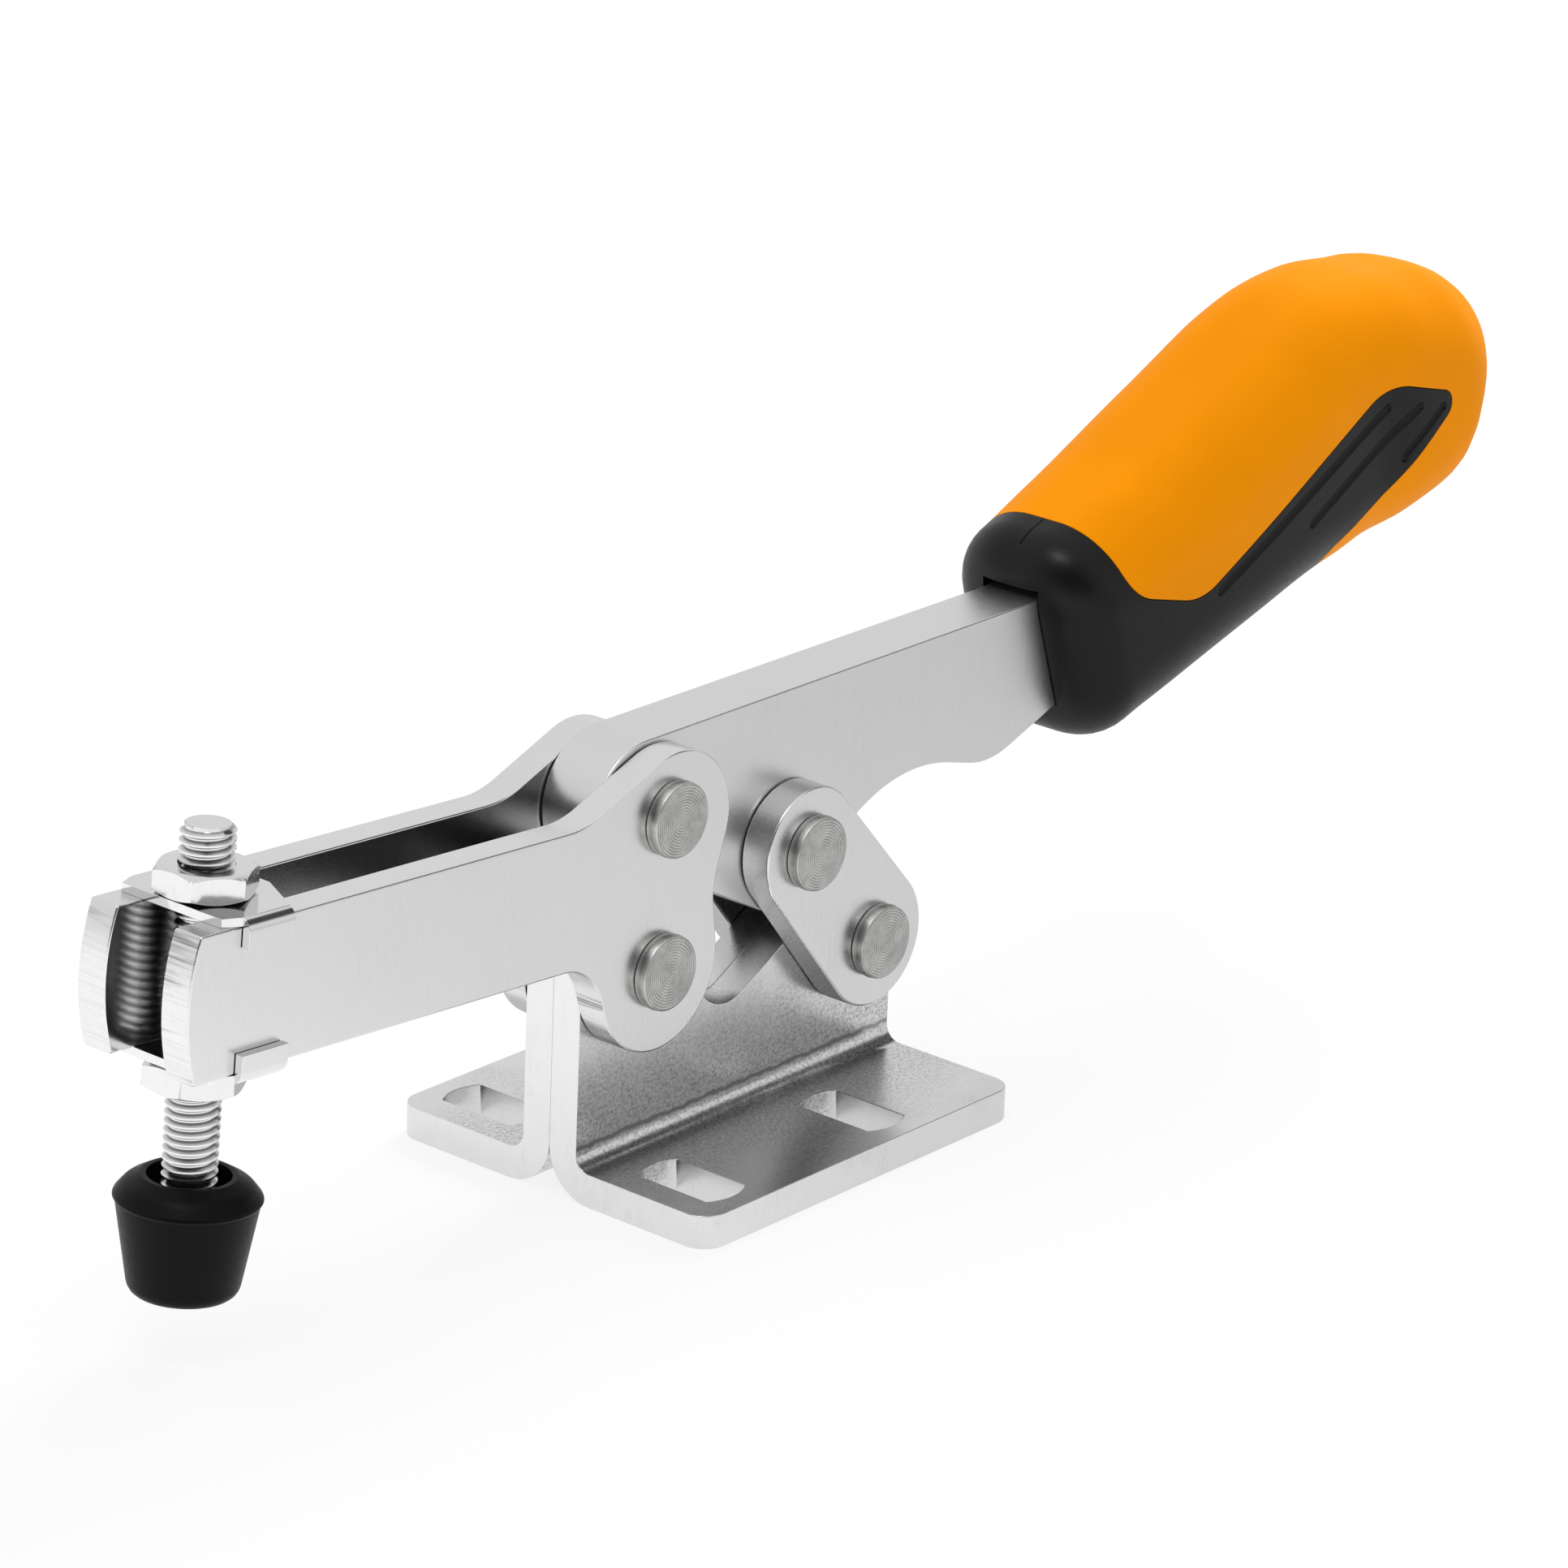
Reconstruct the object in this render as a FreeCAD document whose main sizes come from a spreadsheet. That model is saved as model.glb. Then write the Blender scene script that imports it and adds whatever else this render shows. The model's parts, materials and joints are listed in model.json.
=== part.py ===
"""Horizontal over-centre toggle clamp with a U-shaped arm and a two-part grip.

Millimetres. +X points to the handle, +Z up and -Y to the near side. The origin is the
centre of the four mounting slots, on the underside of the base. The clamp stands in its
parked position: arm a little nose-up, linkage just short of dead centre.
"""

import FreeCAD, Part
import math
import os

import Sketcher

V = FreeCAD.Vector

SIZES = {
    # plate stock and clearances
    "sheet_gauge": 4.0,
    "side_play": 0.1,
    "running_fit": 0.05,
    # four-bar linkage, side view
    "arm_pivot_x": -12.62,
    "arm_pivot_z": 26.87,
    "link_pivot_x": 25.44,
    "link_pivot_z": 19.99,
    "arm_crank": 17.9,
    "lever_pin_along": 24.6,
    "lever_pin_drop": 10.55,
    "link_centres": 18.8,
    "arm_tilt": 3.62,
    # base brackets
    "bend_inner": 2.0,
    "base_half_width": 23.5,
    "flange_corner": 3.0,
    "front_lug": 8.6,
    "rear_lug": 8.1,
    "rear_lug_drop": 1.2,
    "recess_x": 4.1,
    "recess_z": 22.4,
    "recess_round": 5.4,
    "slot_spacing_x": 28.0,
    "slot_spacing_y": 30.0,
    "slot_width": 6.5,
    "slot_length": 12.0,
    # arm plates
    "arm_boss": 9.6,
    "waist_round": 10.0,
    "waist_line": 0.4,
    "crank_boss": 9.0,
    "crank_boss_ahead": 1.0,
    "crank_boss_drop": 1.5,
    "shoulder_round": 12.0,
    "shoulder_line": 2.3,
    "throat_round": 7.0,
    "throat_line": 0.1,
    "beam_top": 19.3,
    "beam_bottom": 2.96,
    "beam_reach": 73.2,
    "beam_end_round": 25.0,
    # links
    "link_foot": 8.1,
    "link_eye": 7.6,
    # lever
    "lever_nose": 8.2,
    "lever_nose_drop": 0.3,
    "lever_lobe": 8.3,
    "lever_relief_turn": 1.7,
    "relief_line": 0.1,
    "lever_neck_top": -7.75,
    "lever_neck_round": 22.0,
    "lobe_line": 0.3,
    "lever_heel_round": 12.0,
    "heel_line": 0.3,
    "lever_bend_round": 10.0,
    "tang_angle": 19.5,
    "tang_bottom": -6.57,
    "tang_height": 14.8,
    "tang_depth": 45.0,
    "pin_slot_play": 0.8,
    "pin_slot_ahead": 2.83,
    "pin_slot_rise": 1.33,
    "pin_slot_behind": 2.07,
    "pin_slot_fall": 0.72,
    # rivets and bushes
    "rivet_radius": 3.0,
    "bush_radius": 4.5,
    "head_radius": 4.45,
    "head_height": 1.65,
    # spindle, nuts and clip washers
    "spindle_inset": 8.5,
    "spindle_top": 27.9,
    "screw_radius": 3.0,
    "screw_chamfer": 0.6,
    "nut_flats": 10.0,
    "nut_height": 3.2,
    "clip_gauge": 1.0,
    "clip_ahead": 4.9,
    "clip_front_width": 14.6,
    "clip_tab_ahead": 2.6,
    "clip_tab_behind": 4.2,
    "clip_tail": 7.7,
    "clip_tail_width": 3.6,
    "clip_bend": 1.5,
    "clip_tab_drop": 2.4,
    "cap_top": 11.0,
    "cap_height": 13.4,
    "cap_brim": 5.25,
    "cap_shoulder": 8.05,
    "cap_shoulder_drop": 2.4,
    "cap_foot": 5.85,
    "cap_foot_bevel": 0.9,
    "cap_mouth": 4.55,
    "cap_mouth_depth": 3.0,
    "screw_head_height": 4.0,
    # handle
    "handle_x": 72.2,
    "handle_z": -0.1,
    "handle_slant": 0.4,
    "handle_length": 83.15,
    "front_round": 6.25,
    "rear_round": 10.5,
    "section_round": 9.6,
    "collar_slot_top": 9.6,
    "tang_play": 0.15,
}

# Handle form, as shares of its length: share, top, bottom, half width, share of the end slant.
HANDLE_FORM = [
    (0.0, 14.2, -14.2, 10.7, 0.0),
    (0.2, 13.8, -14.2, 13.0, 0.0),
    (0.45, 15.3, -15.2, 13.3, 0.0),
    (0.69, 16.6, -17.9, 13.0, 0.2),
    (0.79, 13.4, -19.1, 13.3, 0.5),
    (0.874, 9.5, -19.6, 14.1, 0.68),
    (1.0, 7.4, -14.7, 15.65, 1.0),
]
# Steps of the two end rounds, in degrees of their quarter circles from the end faces.
ROUND_STEPS = [10.0, 35.0, 60.0]
SECTION_CORNER = 0.82
SECTION_APART = 3.0

# Outline of the dark moulding in the side view of the handle: centre along, centre up, radius, turn.
DARK_OUTLINE = [
    ("under", 52.6, -18.9, 7.6, -1),
    ("belly", 59.5, 2.2, 12.0, 1),
    ("tip", 69.3, -2.9, 1.9, 1),
    ("brow", 57.9, -6.3, 10.0, 1),
    ("dip", 21.8, 6.6, 8.0, -1),
    ("cheek", 14.7, 8.9, 6.5, -1),
]
DARK_TOP = 5.4
DARK_CLEAR = 30.0
CAVITY_AHEAD = 20.0

DOC = FreeCAD.newDocument("toggle_clamp")
SHEET = DOC.addObject("Spreadsheet::Sheet", "Sizes")
ROWS = {}


def put(name, value):
    """Write one named number into the sheet and return it."""
    if name not in ROWS:
        ROWS[name] = len(ROWS) + 1
        cell = "B%d" % ROWS[name]
        SHEET.set("A%d" % ROWS[name], name)
        SHEET.set(cell, repr(round(float(value), 9)))
        SHEET.setAlias(cell, name)
    return float(value)


for size_name, size_value in SIZES.items():
    put(size_name, size_value)
S = dict(SIZES)


def circles_meet(first, first_radius, second, second_radius, side):
    """Point at the given distances from two points, on the left (+1) or right (-1) of the way."""
    span_x = second[0] - first[0]
    span_z = second[1] - first[1]
    span = math.hypot(span_x, span_z)
    along = (first_radius ** 2 - second_radius ** 2 + span ** 2) / (2 * span)
    across = math.sqrt(first_radius ** 2 - along ** 2)
    unit = (span_x / span, span_z / span)
    return (first[0] + along * unit[0] - side * across * unit[1],
            first[1] + along * unit[1] + side * across * unit[0])


# Linkage in its parked position.
TILT = math.radians(S["arm_tilt"])
ARM_PIVOT = (S["arm_pivot_x"], S["arm_pivot_z"])
LINK_PIVOT = (S["link_pivot_x"], S["link_pivot_z"])
CRANK_PIVOT = (ARM_PIVOT[0] + S["arm_crank"] * math.sin(TILT),
               ARM_PIVOT[1] + S["arm_crank"] * math.cos(TILT))
LEVER_SPAN = math.hypot(S["lever_pin_along"], S["lever_pin_drop"])
PIN = circles_meet(CRANK_PIVOT, LEVER_SPAN, LINK_PIVOT, S["link_centres"], 1)
LEVER_TURN = (math.atan2(PIN[1] - CRANK_PIVOT[1], PIN[0] - CRANK_PIVOT[0])
              + math.atan2(S["lever_pin_drop"], S["lever_pin_along"]))
LINK_TURN = math.atan2(PIN[1] - LINK_PIVOT[1], PIN[0] - LINK_PIVOT[0])

# Thickness layers, measured from the middle plane.
INNER = S["sheet_gauge"] + S["side_play"]
OUTER = INNER + S["sheet_gauge"]
put("lever_thickness", 2 * S["sheet_gauge"])
put("bush_length", 2 * INNER)


def side_placement(point, angle, y=0.0):
    """Placement at a point of the side view, turned so that +X leans up by the angle."""
    turn = FreeCAD.Rotation(V(0, 1, 0), -math.degrees(angle))
    return FreeCAD.Placement(V(point[0], y, point[1]), turn)


ARM_FRAME = side_placement(ARM_PIVOT, -TILT)
LEVER_FRAME = side_placement(CRANK_PIVOT, LEVER_TURN)
LINK_FRAME = side_placement(LINK_PIVOT, LINK_TURN)
HANDLE_FRAME = LEVER_FRAME.multiply(
    side_placement((S["handle_x"], S["handle_z"]), math.radians(S["tang_angle"])))


def shift(frame, x, y, z):
    """The frame moved by a step given in its own directions."""
    return frame.multiply(FreeCAD.Placement(V(x, y, z), FreeCAD.Rotation()))


def make_body(name, frame=None):
    """A body with its label and placement."""
    body = DOC.addObject("PartDesign::Body", name)
    body.Label = name
    if frame is not None:
        body.Placement = frame
    return body


def make_sketch(body, name, role):
    """A sketch on one of the body's own origin planes."""
    sketch = body.newObject("Sketcher::SketchObject", body.Name + "_" + name)
    plane = [f for f in body.Origin.OriginFeatures if f.Role == role][0]
    sketch.AttachmentSupport = [(plane, "")]
    sketch.MapMode = "FlatFace"
    return sketch


def bind(sketch, kind, args, alias):
    """A dimension of the sketch that reads its value from the sheet."""
    index = sketch.addConstraint(Sketcher.Constraint(kind, *args))
    sketch.renameConstraint(index, "c%d_%s" % (index, alias))
    sketch.setExpression("Constraints.c%d_%s" % (index, alias), "Sizes." + alias)


def pin_point(sketch, geo, pos, x, y, alias):
    """Fix a point of the sketch by its two coordinates."""
    bind(sketch, "DistanceX", (-1, 1, geo, pos, x), alias + "_x")
    bind(sketch, "DistanceY", (-1, 1, geo, pos, y), alias + "_y")


def add_hole(sketch, alias, x, y, radius):
    """A circle at a point, bound to the sheet."""
    put(alias + "_x", x)
    put(alias + "_y", y)
    put(alias + "_r", radius)
    geo = sketch.addGeometry(Part.Circle(V(x, y, 0), V(0, 0, 1), radius))
    pin_point(sketch, geo, 3, x, y, alias)
    bind(sketch, "Radius", (geo, radius), alias + "_r")


def rounded(label, x, y, radius, turn=1):
    """Outline station that runs round a circle, anticlockwise (+1) or clockwise (-1)."""
    return {"label": label, "x": x, "y": y, "rho": radius * turn, "bulge": 0.0}


def corner(label, x, y, bulge=0.0):
    """Outline station at a sharp corner; a bulge is the radius of the arc to the next one."""
    return {"label": label, "x": x, "y": y, "rho": 0.0, "bulge": bulge}


def tangent_ends(start, end):
    """End points of the straight run between two stations of an outline."""
    dx = end["x"] - start["x"]
    dy = end["y"] - start["y"]
    span = math.hypot(dx, dy)
    heading = math.atan2(dy, dx) - math.asin((end["rho"] - start["rho"]) / span)
    nx = -math.sin(heading)
    ny = math.cos(heading)
    return ((start["x"] - start["rho"] * nx, start["y"] - start["rho"] * ny),
            (end["x"] - end["rho"] * nx, end["y"] - end["rho"] * ny))


def bulge_arc(start, end, radius):
    """Arc between two corners: anticlockwise for a positive radius, clockwise for a negative one."""
    dx = end[0] - start[0]
    dy = end[1] - start[1]
    half = math.hypot(dx, dy) / 2
    rise = math.sqrt(max(radius * radius - half * half, 0.0))
    side = 1 if radius > 0 else -1
    cx = (start[0] + end[0]) / 2 - side * rise * dy / (2 * half)
    cy = (start[1] + end[1]) / 2 + side * rise * dx / (2 * half)
    return make_arc(cx, cy, abs(radius), start, end, side)


def make_arc(cx, cy, radius, start, end, side):
    """Circular arc between two points in the given sense."""
    first = math.atan2(start[1] - cy, start[0] - cx)
    last = math.atan2(end[1] - cy, end[0] - cx)
    if side < 0:
        first, last = last, first
    if last <= first:
        last += 2 * math.pi
    circle = Part.Circle(V(cx, cy, 0), V(0, 0, 1), radius)
    return Part.ArcOfCircle(circle, first, last)


def draw_outline(sketch, prefix, stations):
    """Closed anticlockwise outline of straight runs, tangent arcs and sharp corners."""
    count = len(stations)
    runs = []
    for i in range(count):
        start = stations[i]
        end = stations[(i + 1) % count]
        ends = tangent_ends(start, end)
        if start["bulge"]:
            geo = sketch.addGeometry(bulge_arc(ends[0], ends[1], start["bulge"]))
            turn = 1 if start["bulge"] > 0 else -1
        else:
            geo = sketch.addGeometry(Part.LineSegment(V(*ends[0], 0), V(*ends[1], 0)))
            turn = 1
        enter, leave = (1, 2) if turn > 0 else (2, 1)
        runs.append({"geo": geo, "ends": ends, "enter": enter, "leave": leave})
    for i in range(count):
        station = stations[i]
        before = runs[i - 1]
        after = runs[i]
        alias = prefix + "_" + station["label"]
        put(alias + "_x", station["x"])
        put(alias + "_y", station["y"])
        if station["rho"] == 0.0:
            sketch.addConstraint(Sketcher.Constraint(
                "Coincident", before["geo"], before["leave"], after["geo"], after["enter"]))
            pin_point(sketch, after["geo"], after["enter"], station["x"], station["y"], alias)
        else:
            radius = abs(station["rho"])
            turn = 1 if station["rho"] > 0 else -1
            put(alias + "_r", radius)
            geo = sketch.addGeometry(make_arc(
                station["x"], station["y"], radius, before["ends"][1], after["ends"][0], turn))
            enter, leave = (1, 2) if turn > 0 else (2, 1)
            sketch.addConstraint(Sketcher.Constraint(
                "Tangent", before["geo"], before["leave"], geo, enter))
            sketch.addConstraint(Sketcher.Constraint(
                "Tangent", geo, leave, after["geo"], after["enter"]))
            pin_point(sketch, geo, 3, station["x"], station["y"], alias)
            bind(sketch, "Radius", (geo, radius), alias + "_r")
        if station["bulge"]:
            put(alias + "_b", abs(station["bulge"]))
            bind(sketch, "Radius", (after["geo"], abs(station["bulge"])), alias + "_b")


def pad(body, sketch, alias, reverse=False, middle=False):
    """Pad of a sketch by a length of the sheet."""
    feature = body.newObject("PartDesign::Pad", sketch.Name + "_pad")
    feature.Profile = sketch
    feature.setExpression("Length", "Sizes." + alias)
    feature.Reversed = reverse
    if middle:
        feature.SideType = "Symmetric"
    sketch.Visibility = False
    return feature


def revolve(body, sketch):
    """Full turn of a sketch about its own vertical axis."""
    feature = body.newObject("PartDesign::Revolution", sketch.Name + "_turned")
    feature.Profile = sketch
    feature.ReferenceAxis = (sketch, ["V_Axis"])
    feature.Angle = 360
    return feature


def near_far(name, side):
    """Node name of the near (-1) or far (+1) one of a pair."""
    return name + ("_near" if side < 0 else "_far")


def plate_frame(frame, side):
    """Frame of a plate whose pad runs towards the near side, on either side of the middle."""
    return shift(frame, 0, -INNER if side < 0 else OUTER, 0)


# Base brackets: a foot flange, a bend and a web with the two pivot lugs.
BEND_OUTER = S["bend_inner"] + S["sheet_gauge"]
BASE_FRONT = S["arm_pivot_x"] - S["front_lug"]
REAR_LUG_X = S["link_pivot_x"]
BASE_REAR = REAR_LUG_X + S["rear_lug"]
BUSH_HOLE = S["bush_radius"] + S["running_fit"]
put("base_length", BASE_REAR - BASE_FRONT)


def make_bracket(side):
    """One half of the base, on the near (-1) or far (+1) side."""
    body = make_body(near_far("base_bracket", side))
    web = make_sketch(body, "web", "XZ_Plane")
    draw_outline(web, "web", [
        corner("front", BASE_FRONT, BEND_OUTER),
        corner("rear", BASE_REAR, BEND_OUTER),
        rounded("rearlug", REAR_LUG_X, S["link_pivot_z"] - S["rear_lug_drop"], S["rear_lug"]),
        rounded("recess", S["recess_x"], S["recess_z"], S["recess_round"], -1),
        rounded("frontlug", S["arm_pivot_x"], S["arm_pivot_z"], S["front_lug"]),
    ])
    add_hole(web, "web_armhole", ARM_PIVOT[0], ARM_PIVOT[1], BUSH_HOLE)
    add_hole(web, "web_linkhole", LINK_PIVOT[0], LINK_PIVOT[1], BUSH_HOLE)
    pad(body, web, "sheet_gauge", reverse=side > 0)

    tag = "bend" + ("n" if side < 0 else "f")
    bend = make_sketch(body, "bend", "YZ_Plane")
    bend.AttachmentOffset = FreeCAD.Placement(V(0, 0, BASE_FRONT), FreeCAD.Rotation())
    put("base_front_x", BASE_FRONT)
    bend.setExpression("AttachmentOffset.Base.z", "Sizes.base_front_x")
    inside = side * BEND_OUTER
    stations = [
        corner("sole", inside, 0.0, BEND_OUTER),
        corner("back", 0.0, BEND_OUTER),
        corner("face", side * S["sheet_gauge"], BEND_OUTER, -S["bend_inner"]),
        corner("top", inside, S["sheet_gauge"]),
    ]
    if side > 0:
        stations = [
            corner("sole", inside, 0.0),
            corner("top", inside, S["sheet_gauge"], -S["bend_inner"]),
            corner("face", side * S["sheet_gauge"], BEND_OUTER),
            corner("back", 0.0, BEND_OUTER, BEND_OUTER),
        ]
    draw_outline(bend, tag, stations)
    pad(body, bend, "base_length")

    tag = "foot" + ("n" if side < 0 else "f")
    foot = make_sketch(body, "foot", "XY_Plane")
    edge = side * S["base_half_width"]
    round_in = S["flange_corner"]
    outer_front = rounded("outfront", BASE_FRONT + round_in, edge - side * round_in, round_in)
    outer_rear = rounded("outrear", BASE_REAR - round_in, edge - side * round_in, round_in)
    inner_front = corner("infront", BASE_FRONT, inside)
    inner_rear = corner("inrear", BASE_REAR, inside)
    if side < 0:
        draw_outline(foot, tag, [outer_front, outer_rear, inner_rear, inner_front])
    else:
        draw_outline(foot, tag, [inner_front, inner_rear, outer_rear, outer_front])
    half_wide = S["slot_width"] / 2
    half_flat = math.sqrt((S["slot_length"] / 2) ** 2 - half_wide ** 2)
    centre_y = side * S["slot_spacing_y"] / 2
    for end, label in ((-1, "slotfront"), (1, "slotrear")):
        centre_x = end * S["slot_spacing_x"] / 2
        draw_outline(foot, tag + label, [
            corner("a", centre_x - half_wide, centre_y - half_flat, S["slot_length"] / 2),
            corner("b", centre_x + half_wide, centre_y - half_flat),
            corner("c", centre_x + half_wide, centre_y + half_flat, S["slot_length"] / 2),
            corner("d", centre_x - half_wide, centre_y + half_flat),
        ])
    pad(body, foot, "sheet_gauge")
    return body


# Arm plates: hold-down beam with the pivot boss and the raised crank boss.
RIVET_HOLE = S["rivet_radius"] + S["running_fit"]
CRANK_BOSS = (S["crank_boss_ahead"], S["arm_crank"] - S["crank_boss_drop"])
WAIST = circles_meet(
    (0.0, 0.0), S["arm_boss"] + S["waist_round"] + S["waist_line"],
    CRANK_BOSS, S["crank_boss"] + S["waist_round"] + S["waist_line"], -1)
SHOULDER_Z = S["beam_top"] + S["shoulder_round"]
SHOULDER_GAP = S["crank_boss"] + S["shoulder_round"] + S["shoulder_line"]
SHOULDER_X = CRANK_BOSS[0] - math.sqrt(SHOULDER_GAP ** 2 - (SHOULDER_Z - CRANK_BOSS[1]) ** 2)
THROAT_Z = S["beam_bottom"] - S["throat_round"]
THROAT_X = -math.sqrt((S["arm_boss"] + S["throat_round"] + S["throat_line"]) ** 2 - THROAT_Z ** 2)


def make_arm_plate(side):
    """One plate of the arm."""
    body = make_body(near_far("arm_plate", side), plate_frame(ARM_FRAME, side))
    sketch = make_sketch(body, "outline", "XZ_Plane")
    draw_outline(sketch, "arm", [
        rounded("boss", 0.0, 0.0, S["arm_boss"]),
        rounded("waist", WAIST[0], WAIST[1], S["waist_round"], -1),
        rounded("crank", CRANK_BOSS[0], CRANK_BOSS[1], S["crank_boss"]),
        rounded("shoulder", SHOULDER_X, SHOULDER_Z, S["shoulder_round"], -1),
        corner("tiptop", -S["beam_reach"], S["beam_top"], S["beam_end_round"]),
        corner("tipfoot", -S["beam_reach"], S["beam_bottom"]),
        rounded("throat", THROAT_X, THROAT_Z, S["throat_round"], -1),
    ])
    add_hole(sketch, "arm_pivothole", 0.0, 0.0, RIVET_HOLE)
    add_hole(sketch, "arm_crankhole", 0.0, S["arm_crank"], RIVET_HOLE)
    pad(body, sketch, "sheet_gauge")
    return body


def make_link_plate(side):
    """One of the two links between the base and the lever."""
    body = make_body(near_far("link_plate", side), plate_frame(LINK_FRAME, side))
    sketch = make_sketch(body, "outline", "XZ_Plane")
    draw_outline(sketch, "link", [
        rounded("foot", 0.0, 0.0, S["link_foot"]),
        rounded("eye", S["link_centres"], 0.0, S["link_eye"]),
    ])
    add_hole(sketch, "link_foothole", 0.0, 0.0, RIVET_HOLE)
    add_hole(sketch, "link_eyehole", S["link_centres"], 0.0, RIVET_HOLE)
    pad(body, sketch, "sheet_gauge")
    return body


# Lever: the profile in the lever's frame, its tang in the handle's.
TANG = math.radians(S["tang_angle"])


def from_handle(along, up):
    """Point of the handle's side view in the lever's."""
    return (S["handle_x"] + along * math.cos(TANG) - up * math.sin(TANG),
            S["handle_z"] + along * math.sin(TANG) + up * math.cos(TANG))


def to_handle(x, z):
    """Point of the lever's side view in the handle's."""
    dx = x - S["handle_x"]
    dz = z - S["handle_z"]
    return (dx * math.cos(TANG) + dz * math.sin(TANG), dz * math.cos(TANG) - dx * math.sin(TANG))


TANG_TOP = S["tang_bottom"] + S["tang_height"]
RELIEF_TURN = math.radians(S["lever_relief_turn"])
RELIEF = (S["arm_crank"] * math.sin(RELIEF_TURN), -S["arm_crank"] * math.cos(RELIEF_TURN))
RELIEF_ROUND = (math.hypot(RELIEF[0], RELIEF[1] + S["lever_nose_drop"])
                - S["lever_nose"] - S["relief_line"])
NECK_Z = S["lever_neck_top"] - S["lever_neck_round"]
NECK_X = S["lever_pin_along"] + math.sqrt(
    (S["lever_lobe"] + S["lever_neck_round"] + S["lobe_line"]) ** 2
    - (NECK_Z + S["lever_pin_drop"]) ** 2)
NECK = to_handle(NECK_X, NECK_Z)
HEEL_UP = S["tang_bottom"] + S["lever_heel_round"]
HEEL_SPAN = S["lever_neck_round"] + S["lever_heel_round"] + S["heel_line"]
HEEL = from_handle(NECK[0] + math.sqrt(HEEL_SPAN ** 2 - (HEEL_UP - NECK[1]) ** 2), HEEL_UP)
BACK_Z = S["lever_nose"] - S["lever_nose_drop"]
BEND_Z = BACK_Z + S["lever_bend_round"]
BEND_UP = TANG_TOP + S["lever_bend_round"]
BEND_X = S["handle_x"] + ((BEND_Z - S["handle_z"]) * math.cos(TANG) - BEND_UP) / math.sin(TANG)


def make_lever():
    """The solid lever between the arm plates, with its tang."""
    body = make_body("lever", LEVER_FRAME)
    sketch = make_sketch(body, "outline", "XZ_Plane")
    tang_low = from_handle(S["tang_depth"], S["tang_bottom"])
    tang_high = from_handle(S["tang_depth"], TANG_TOP)
    draw_outline(sketch, "lever", [
        rounded("nose", 0.0, -S["lever_nose_drop"], S["lever_nose"]),
        rounded("relief", RELIEF[0], RELIEF[1], RELIEF_ROUND, -1),
        rounded("lobe", S["lever_pin_along"], -S["lever_pin_drop"], S["lever_lobe"]),
        rounded("neck", NECK_X, NECK_Z, S["lever_neck_round"], -1),
        rounded("heel", HEEL[0], HEEL[1], S["lever_heel_round"]),
        corner("tanglow", tang_low[0], tang_low[1]),
        corner("tanghigh", tang_high[0], tang_high[1]),
        rounded("bend", BEND_X, BEND_Z, S["lever_bend_round"], -1),
    ])
    add_hole(sketch, "lever_nosehole", 0.0, 0.0, BUSH_HOLE)
    slot_round = S["rivet_radius"] + S["pin_slot_play"]
    draw_outline(sketch, "lever_slot", [
        rounded("ahead", S["lever_pin_along"] - S["pin_slot_ahead"],
                S["pin_slot_rise"] - S["lever_pin_drop"], slot_round),
        rounded("behind", S["lever_pin_along"] + S["pin_slot_behind"],
                -S["pin_slot_fall"] - S["lever_pin_drop"], slot_round),
    ])
    pad(body, sketch, "lever_thickness", middle=True)
    return body


def make_rivet(name, frame):
    """Turned pivot rivet with a flat head on each side."""
    body = make_body(name, frame)
    sketch = make_sketch(body, "profile", "XY_Plane")
    face = OUTER + S["head_height"]
    shank = S["rivet_radius"]
    rim = S["head_radius"]
    draw_outline(sketch, "rivet", [
        corner("lowaxis", 0.0, -face),
        corner("lowrim", rim, -face),
        corner("lowseat", rim, -OUTER),
        corner("lowshank", shank, -OUTER),
        corner("topshank", shank, OUTER),
        corner("topseat", rim, OUTER),
        corner("toprim", rim, face),
        corner("topaxis", 0.0, face),
    ])
    revolve(body, sketch)
    return body


def make_bush(name, frame):
    """Bearing bush round a rivet, between the plates."""
    body = make_body(name, frame)
    sketch = make_sketch(body, "ring", "XZ_Plane")
    add_hole(sketch, "bush_outside", 0.0, 0.0, S["bush_radius"])
    add_hole(sketch, "bush_inside", 0.0, 0.0, RIVET_HOLE)
    pad(body, sketch, "bush_length", middle=True)
    return body


# Spindle group, in frames on the screw's axis.
SPINDLE_FRAME = shift(ARM_FRAME, S["spindle_inset"] - S["beam_reach"], 0, 0)
UPPER_CLIP_FRAME = shift(SPINDLE_FRAME, 0, 0, S["beam_top"])
LOWER_CLIP_FRAME = shift(SPINDLE_FRAME, 0, 0, S["beam_bottom"]).multiply(
    FreeCAD.Placement(V(0, 0, 0), FreeCAD.Rotation(V(1, 0, 0), 180)))
SCREW_HOLE = S["screw_radius"] + S["running_fit"]
CLIP_INSIDE = OUTER + S["side_play"]
CLIP_OUTSIDE = CLIP_INSIDE + S["clip_gauge"]


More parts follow.
